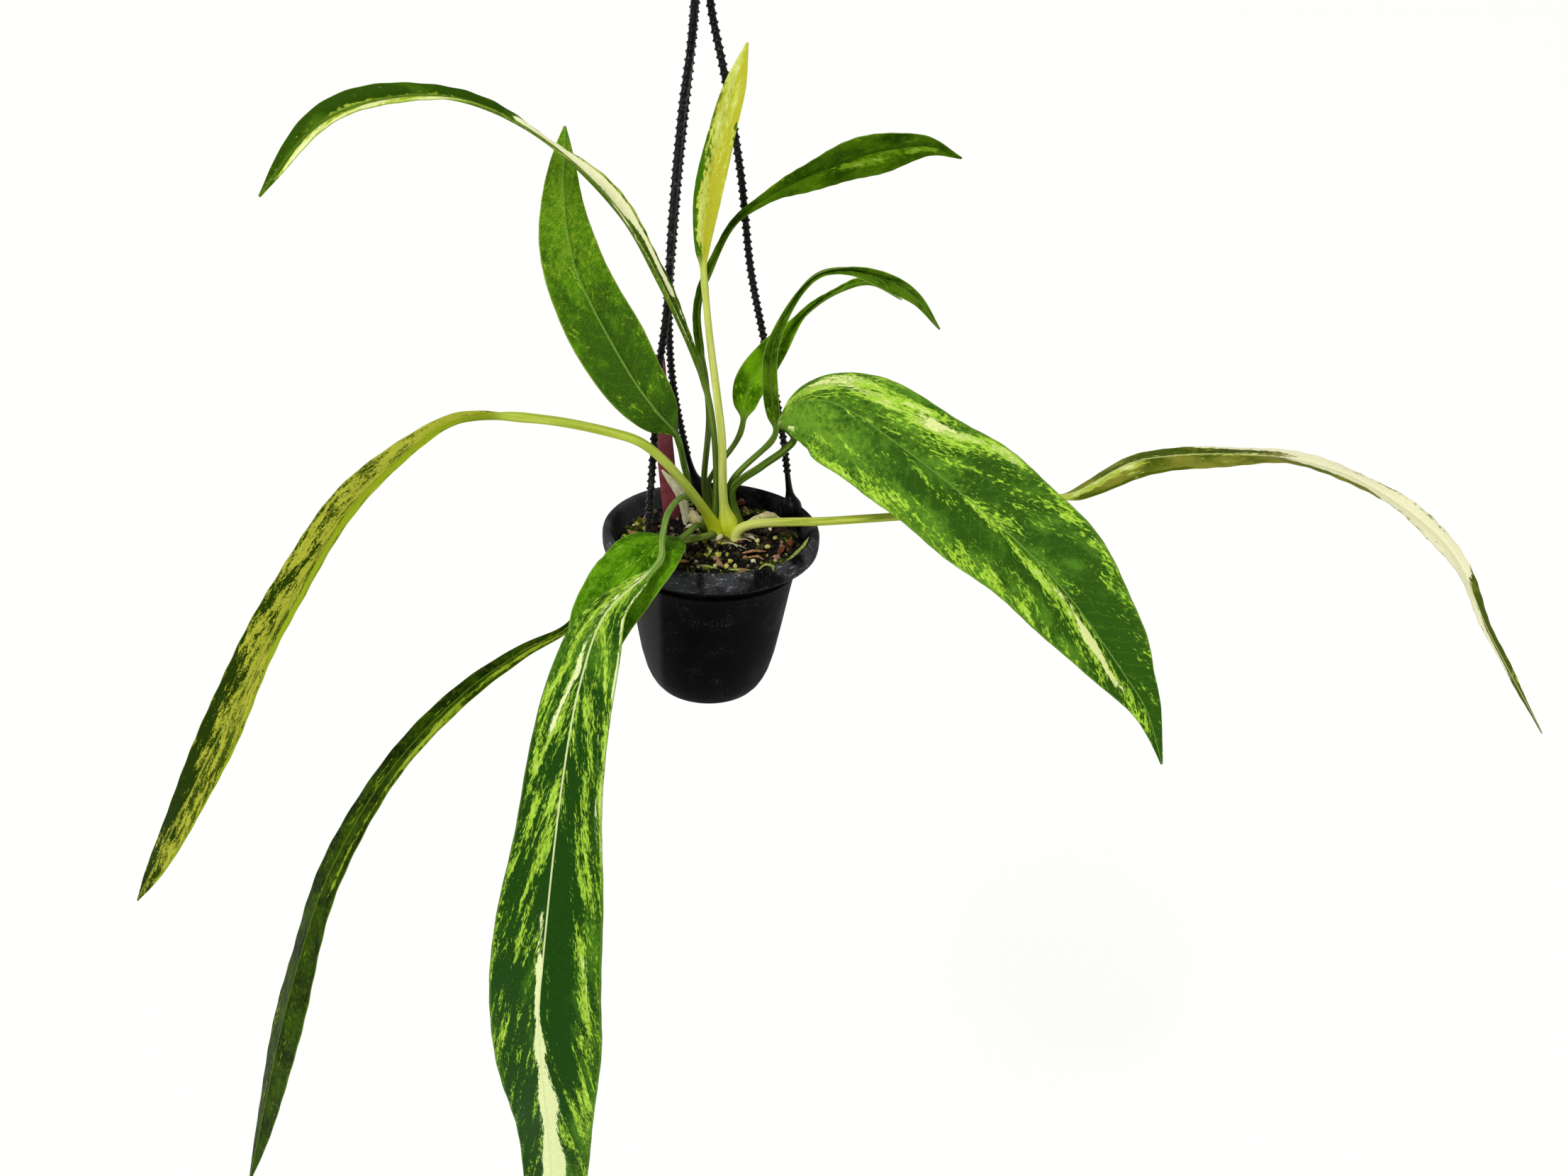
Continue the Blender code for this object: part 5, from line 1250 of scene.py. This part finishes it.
# The widest leaf, marbled with lime and cream, that reaches out to the right and droops.
add_leaf("leaf_variegated_right", leaf_material(
    "broad marbled leaf", deep=(44, 80, 16), mid=(80, 126, 32), lime=(162, 204, 58),
    cream=(220, 230, 150), rib=(108, 144, 62), stalk=((44, 68, 12), (98, 126, 44)),
    patch=(0.84, 1.14), grain=1.25, net_share=0.20, blotch=0.55, rib_half=0.05, rib_share=0.8,
    margin=(96, 134, 42), net=0.7, base=(104, 126, 40)),
    heading=-30, base=(18.0, 11.0), blade_from=111, stalk=(2.8, 2.5, 2.2),
    way=[(12, 7, 138), (30, -1, 159), (44, -6, 173), (49.5, -9, 182), (45.5, -13, 189.5), (40.5, -17.5, 194),
         (42, -20.5, 201), (48, -23.5, 208.5), (57, -27, 213.8), (67, -31, 215.5), (81, -37, 212.6),
         (106, -49, 201), (172, -93, 167), (203, -113, 144), (239, -138, 106), (251, -145, 91),
         (265, -151, 59)],
    half=[(0, 2.6), (0.02, 8), (0.06, 16.5), (0.12, 24), (0.2, 32), (0.38, 37), (0.52, 37), (0.66, 32),
          (0.78, 23), (0.86, 12.5), (0.93, 6), (1, 0.6)],
    roll=[(0, 44), (0.3, 38), (1, 38)], fold=[(0, -28), (0.15, -20), (0.4, 2), (0.7, 22), (1, 26)],
    wave=(2.2, 5, 0.8), puff=0.28, streak_turn=14.0,
    uneven=[(0, 0), (0.03, 0.45), (0.09, 0.45), (0.15, 0.25), (0.28, 0), (1, 0)],
    limes=[(0.03, -0.40, 0.14, -0.62, 7.5, 0.34), (0.14, -0.62, 0.30, -0.62, 8.0, 0.42),
           (0.30, -0.65, 0.44, -0.90, 6.0, 0.42), (0.44, -0.93, 0.56, -0.95, 3.0, 0.30),
           (0.10, 0.88, 0.24, 0.94, 4.0, 0.34), (0.26, 0.78, 0.58, 0.86, 7.5, 0.27),
           (0.58, 0.88, 0.78, 0.85, 5.0, 0.22), (0.45, 0.02, 0.60, 0.18, 3.4, 0.40),
           (0.60, 0.15, 0.70, 0.22, 6.0, 0.24), (0.66, 0.20, 0.90, 0.55, 5.5, 0.32),
           (0.55, -0.88, 0.70, -0.93, 4.0, 0.20), (0.10, 0.20, 0.70, 0.45, 10.0, -0.14),
           (0.55, -0.40, 0.95, -0.20, 8.0, -0.14), (0.90, 0.00, 1.00, 0.00, 8.0, -0.12)],
    creams=[(0.10, -0.85, 0.17, -0.88, 4.0, 0.54), (0.16, -0.55, 0.30, -0.62, 4.5, 0.54),
            (0.30, -0.70, 0.44, -0.93, 4.0, 0.58), (0.34, 0.78, 0.44, 0.88, 3.0, 0.30),
            (0.55, 0.10, 0.62, 0.20, 4.5, 0.42), (0.665, 0.10, 0.75, 0.28, 3.2, 0.66),
            (0.75, 0.28, 0.83, 0.48, 3.8, 0.76), (0.57, -0.90, 0.67, -0.97, 3.4, 0.40),
            (0.00, -0.10, 0.04, 0.60, 5.0, 0.60), (0.03, -0.45, 0.13, -0.70, 4.5, 0.42)],
    deeps=[(0.3, 0.25, 0.8, 0.35, 12, 0.12), (0.84, 0.0, 1.0, 0.0, 14.0, 0.26),
           (0.5, -0.5, 0.84, -0.5, 14.0, 0.10), (0.03, 0.15, 0.16, 0.50, 12.0, -0.11)])

# The long narrow leaf on a long level stalk that arches furthest to the right, cream beyond its bend.
add_leaf("leaf_far_right", leaf_material(
    "long cream leaf", deep=(66, 84, 8), mid=(122, 124, 44), lime=(166, 186, 70),
    cream=(234, 232, 192), rib=(200, 206, 140), stalk=((134, 148, 42), (192, 204, 88)),
    patch=(0.86, 0.90), net_share=0.0, blotch=0.2, rib_half=0.08, margin=(120, 124, 56), margin_share=0.4,
    net=0.3, vein=0.05, base=(214, 222, 122), base_share=0.8, base_end=6.0),
    heading=-8, base=(16.0, 1.0), blade_from=212, stalk=(3.2, 2.7, 2.5), swell=(0.9, 10.0, 0.0),
    way=[(22, -1, 117), (79, -16, 132), (173, -27, 152), (214, -32, 165), (248, -36, 191),
         (265, -38, 197), (300, -43, 203), (336, -48, 204), (373, -54, 196), (431, -62, 162),
         (476, -66, 104), (525, -72, 43)],
    half=[(0, 2.6), (0.05, 8), (0.12, 12), (0.2, 11), (0.35, 10.5), (0.5, 9.5), (0.62, 9.5), (0.7, 7),
          (0.8, 5), (0.9, 3.2), (1, 0.5)],
    roll=[(0, 18), (0.2, 15), (0.35, 2), (0.5, 16), (0.65, 32), (0.8, 35), (1, 30)],
    fold=[(0, -30), (0.2, -25), (0.35, 5), (1, 10)], wave=(0.8, 6, 0.2),
    streak_turn=2.0,
    creams=[(0.42, 0.0, 0.77, 0.0, 16, 0.75), (0.80, 0.7, 1.0, 0.7, 1.2, 0.45),
            (0.22, -0.9, 0.40, -0.8, 2.5, 0.55), (0.72, -0.9, 1.0, -0.3, 5.0, -1.3),
            (0.30, 0.9, 0.46, 0.9, 2.5, -0.6)],
    limes=[(0.0, 0.3, 0.12, 0.2, 3.0, 0.60), (0.12, 0.2, 0.3, 0.0, 1.5, 0.35)],
    deeps=[(0.10, -0.25, 0.32, -0.65, 2.8, 0.36), (0.76, -0.8, 1.0, -0.5, 4, 0.50),
           (0.05, 0.97, 0.2, 0.97, 1.2, 0.40)])

# The olive leaf, flecked with green, that arches furthest to the left.
add_leaf("leaf_far_left", leaf_material(
    "flecked olive leaf", deep=(30, 50, 0), mid=(62, 84, 4), lime=(164, 168, 54),
    cream=(136, 156, 24), rib=(150, 160, 56), stalk=((160, 178, 50), (190, 206, 88)),
    patch=(0.54, 1.0), grain=2.8, net_share=0.0, blotch=0.3, rib_half=0.08, rib_share=0.4,
    margin=(130, 148, 26), net=0.3, vein=0.03, base=(214, 226, 38), base_share=0.9, base_end=6.0),
    heading=220, base=(2.0, 4.0), blade_from=202, stalk=(3.6, 3.0, 2.5), swell=(1.8, 14.0, 6.0),
    way=[(-2, -4, 124), (-25, -51, 180), (-38, -65, 197), (-52, -72, 204), (-84, -92, 217),
         (-117, -109, 223), (-131, -116, 220), (-171, -138, 188), (-209, -161, 131), (-258, -186, 40),
         (-300, -204, -39)],
    half=[(0, 2.6), (0.06, 4), (0.15, 7), (0.3, 12), (0.5, 13.5), (0.65, 13.5), (0.78, 11.5), (0.88, 9),
          (0.95, 5.5), (1, 0.5)],
    roll=[(0, -14), (0.45, -14), (0.7, -24), (1, -18)],
    fold=[(0, 33), (0.45, 31), (0.7, 6), (0.88, -15), (1, -15)], wave=(0.4, 4, 0.4), streak_turn=4.0,
    limes=[(0.0, 0.0, 0.08, 0.0, 8.0, 0.34), (0.10, 0.20, 0.60, 0.20, 12.0, 0.20),
           (0.60, -0.50, 0.95, -0.50, 7.0, 0.14), (0.60, 0.75, 0.84, 0.70, 5.0, -0.46),
           (0.84, 0.60, 1.00, 0.40, 5.0, -0.24), (0.30, 0.20, 0.40, 0.30, 3.0, -0.15),
           (0.42, 0.80, 0.60, 0.85, 3.0, -0.16)],
    deeps=[(0.35, 0.60, 0.95, 0.60, 9.0, 0.25)],
    creams=[(0.0, -0.40, 0.28, -0.60, 4.0, 0.90), (0.28, -0.70, 0.50, -0.90, 3.4, 0.85),
            (0.50, -0.95, 0.95, -0.97, 1.4, 0.60)])

# The dark leaf that hangs below the one above, on the left.
add_leaf("leaf_low_left", leaf_material(
    "dark hanging leaf", deep=(14, 32, 0), mid=(42, 68, 0), lime=(126, 148, 28),
    cream=(160, 178, 70), rib=(96, 122, 30), stalk=((84, 106, 34), (146, 166, 76)),
    patch=(0.92, 1.3), rib_half=0.06, margin=(100, 126, 34), blotch=0.35, vein=0.03, net=0.4,
    base=(104, 126, 40)),
    heading=224, base=(1.0, -3.0), blade_from=120, stalk=(2.4, 2.3, 2.3),
    way=[(-2, -13, 114), (-21, -34, 119), (-47, -48, 123), (-62, -66, 114), (-74, -95, 92),
         (-100, -109, 80), (-129, -128, 63), (-167, -154, 25), (-199, -181, -29), (-223, -203, -100),
         (-261, -229, -247)],
    half=[(0, 2.4), (0.05, 3.5), (0.15, 7.5), (0.35, 10), (0.5, 12), (0.6, 14.5), (0.7, 16.5),
          (0.8, 15), (0.88, 11), (0.95, 5.5), (1, 0.5)],
    roll=[(0, 0), (1, 0)], fold=[(0, 0), (0.4, 0), (0.6, -18), (1, -18)], wave=(0.5, 4, 0.0), streak_turn=4.0,
    limes=[(0.0, -0.5, 0.26, -0.5, 2.2, 0.66), (0.26, -0.7, 0.5, -0.6, 1.2, 0.55),
           (0.2, 0.2, 0.7, 0.3, 2.0, 0.10)])

# The longest leaf, boldly marbled, that falls over the front of the rim and hangs far below the pot.
add_leaf("leaf_long_front", leaf_material(
    "long marbled leaf", deep=(28, 64, 12), mid=(60, 106, 20), lime=(160, 198, 60),
    cream=(216, 226, 164), rib=(208, 220, 160), stalk=((84, 122, 34), (142, 174, 88)),
    patch=(0.82, 1.10), grain=1.7, drawn=0.6, blotch=0.4, rib_half=0.075, rib_share=0.9,
    margin=(96, 130, 50), net=0.8, vein=0.04, base=(130, 168, 60)),
    heading=249, base=(-6.0, 9.0), blade_from=140, stalk=(2.3, 1.9, 1.8),
    way=[(-4, 5, 122), (-15, -8, 138), (-19, -22, 143), (-23, -53, 146), (-22.5, -82, 144),
         (-22, -96, 138), (-48, -128, 120), (-58, -152, 91), (-66, -169, 40), (-76, -198, -70),
         (-79, -206, -114), (-77, -208, -253), (-87, -202, -406)],
    half=[(0, 2.4), (0.05, 9), (0.1, 17), (0.2, 22), (0.3, 27), (0.4, 33.5), (0.48, 37), (0.55, 36),
          (0.7, 25.5), (0.8, 19), (0.9, 11), (0.96, 5), (1, 0.6)],
    roll=[(0, -8), (1, -8)], fold=[(0, -5), (0.5, -18), (1, -18)], wave=(2.0, 5, 0.4), puff=0.26,
    streak_turn=12.0,
    limes=[(0.00, 0.40, 0.24, 0.58, 11.0, 0.28), (0.24, 0.65, 0.62, 0.80, 13.0, -0.01),
           (0.26, 0.10, 0.37, 0.50, 4.5, 0.38), (0.00, -0.40, 0.30, -0.45, 8.0, 0.16),
           (0.06, -0.94, 0.34, -0.98, 1.6, 0.46), (0.30, -0.62, 0.66, -0.78, 5.5, 0.28),
           (0.60, 0.60, 0.95, 0.50, 12.0, -0.03), (0.50, -0.22, 0.68, -0.36, 3.0, 0.20),
           (0.30, 0.96, 0.60, 0.96, 3.0, 0.22), (0.30, -0.26, 0.58, -0.32, 7.5, -0.34)],
    creams=[(0.13, 0.16, 0.18, 0.50, 2.4, 0.66), (0.19, 0.50, 0.23, 0.66, 3.0, 0.46),
            (0.01, 0.22, 0.12, 0.20, 2.0, 0.60), (0.38, 0.10, 0.44, 0.06, 2.2, 0.62),
            (0.02, -0.85, 0.14, -0.96, 1.2, 0.70), (0.18, -0.75, 0.30, -0.90, 2.0, 0.44),
            (0.44, 0.04, 0.54, 0.01, 2.6, 0.85), (0.54, 0.00, 0.62, -0.05, 4.4, 0.90),
            (0.62, -0.05, 0.72, -0.08, 7.0, 0.95), (0.72, -0.05, 1.00, -0.02, 7.8, 1.00),
            (0.28, 0.20, 0.34, 0.40, 3.0, 0.36), (0.42, -0.70, 0.50, -0.78, 3.0, 0.46),
            (0.12, -0.97, 0.30, -1.00, 0.9, 0.60)],
    deeps=[(0.2, -0.3, 0.6, -0.3, 12, 0.25), (0.26, 0.60, 0.95, 0.55, 14, 0.24)])

# The short broad plain leaf under it.
add_leaf("leaf_broad_front", leaf_material(
    "plain front leaf", deep=(42, 88, 0), mid=(90, 142, 10), lime=(136, 182, 54),
    cream=(190, 205, 110), rib=(50, 88, 14), stalk=((64, 88, 24), (124, 150, 66)),
    patch=(0.98, 1.4), blotch=0.6, rib_half=0.06, rib_share=0.5, margin=(128, 164, 56), net=1.6, vein=0.2,
    base=(96, 120, 40)),
    heading=243, base=(-5.5, 2.5), blade_from=62, stalk=(2.2, 2.0, 2.0),
    way=[(-8, -12, 121), (-15, -50, 130), (-25, -75, 139), (-40, -96, 127), (-49, -101, 114),
         (-56, -111, 98), (-60, -118, 81), (-67, -127, 40)],
    half=[(0, 2.2), (0.06, 6.5), (0.15, 13.5), (0.3, 20), (0.5, 19.5), (0.7, 15), (0.87, 8), (1, 0.6)],
    roll=[(0, -10), (1, -15)], fold=[(0, -8), (0.4, -5), (1, 5)], wave=(1.5, 3.5, 0.2), puff=0.3)


sizes = {"cad": [list(corner) for corner in cad_box], "visual": [list(corner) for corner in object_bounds()]}
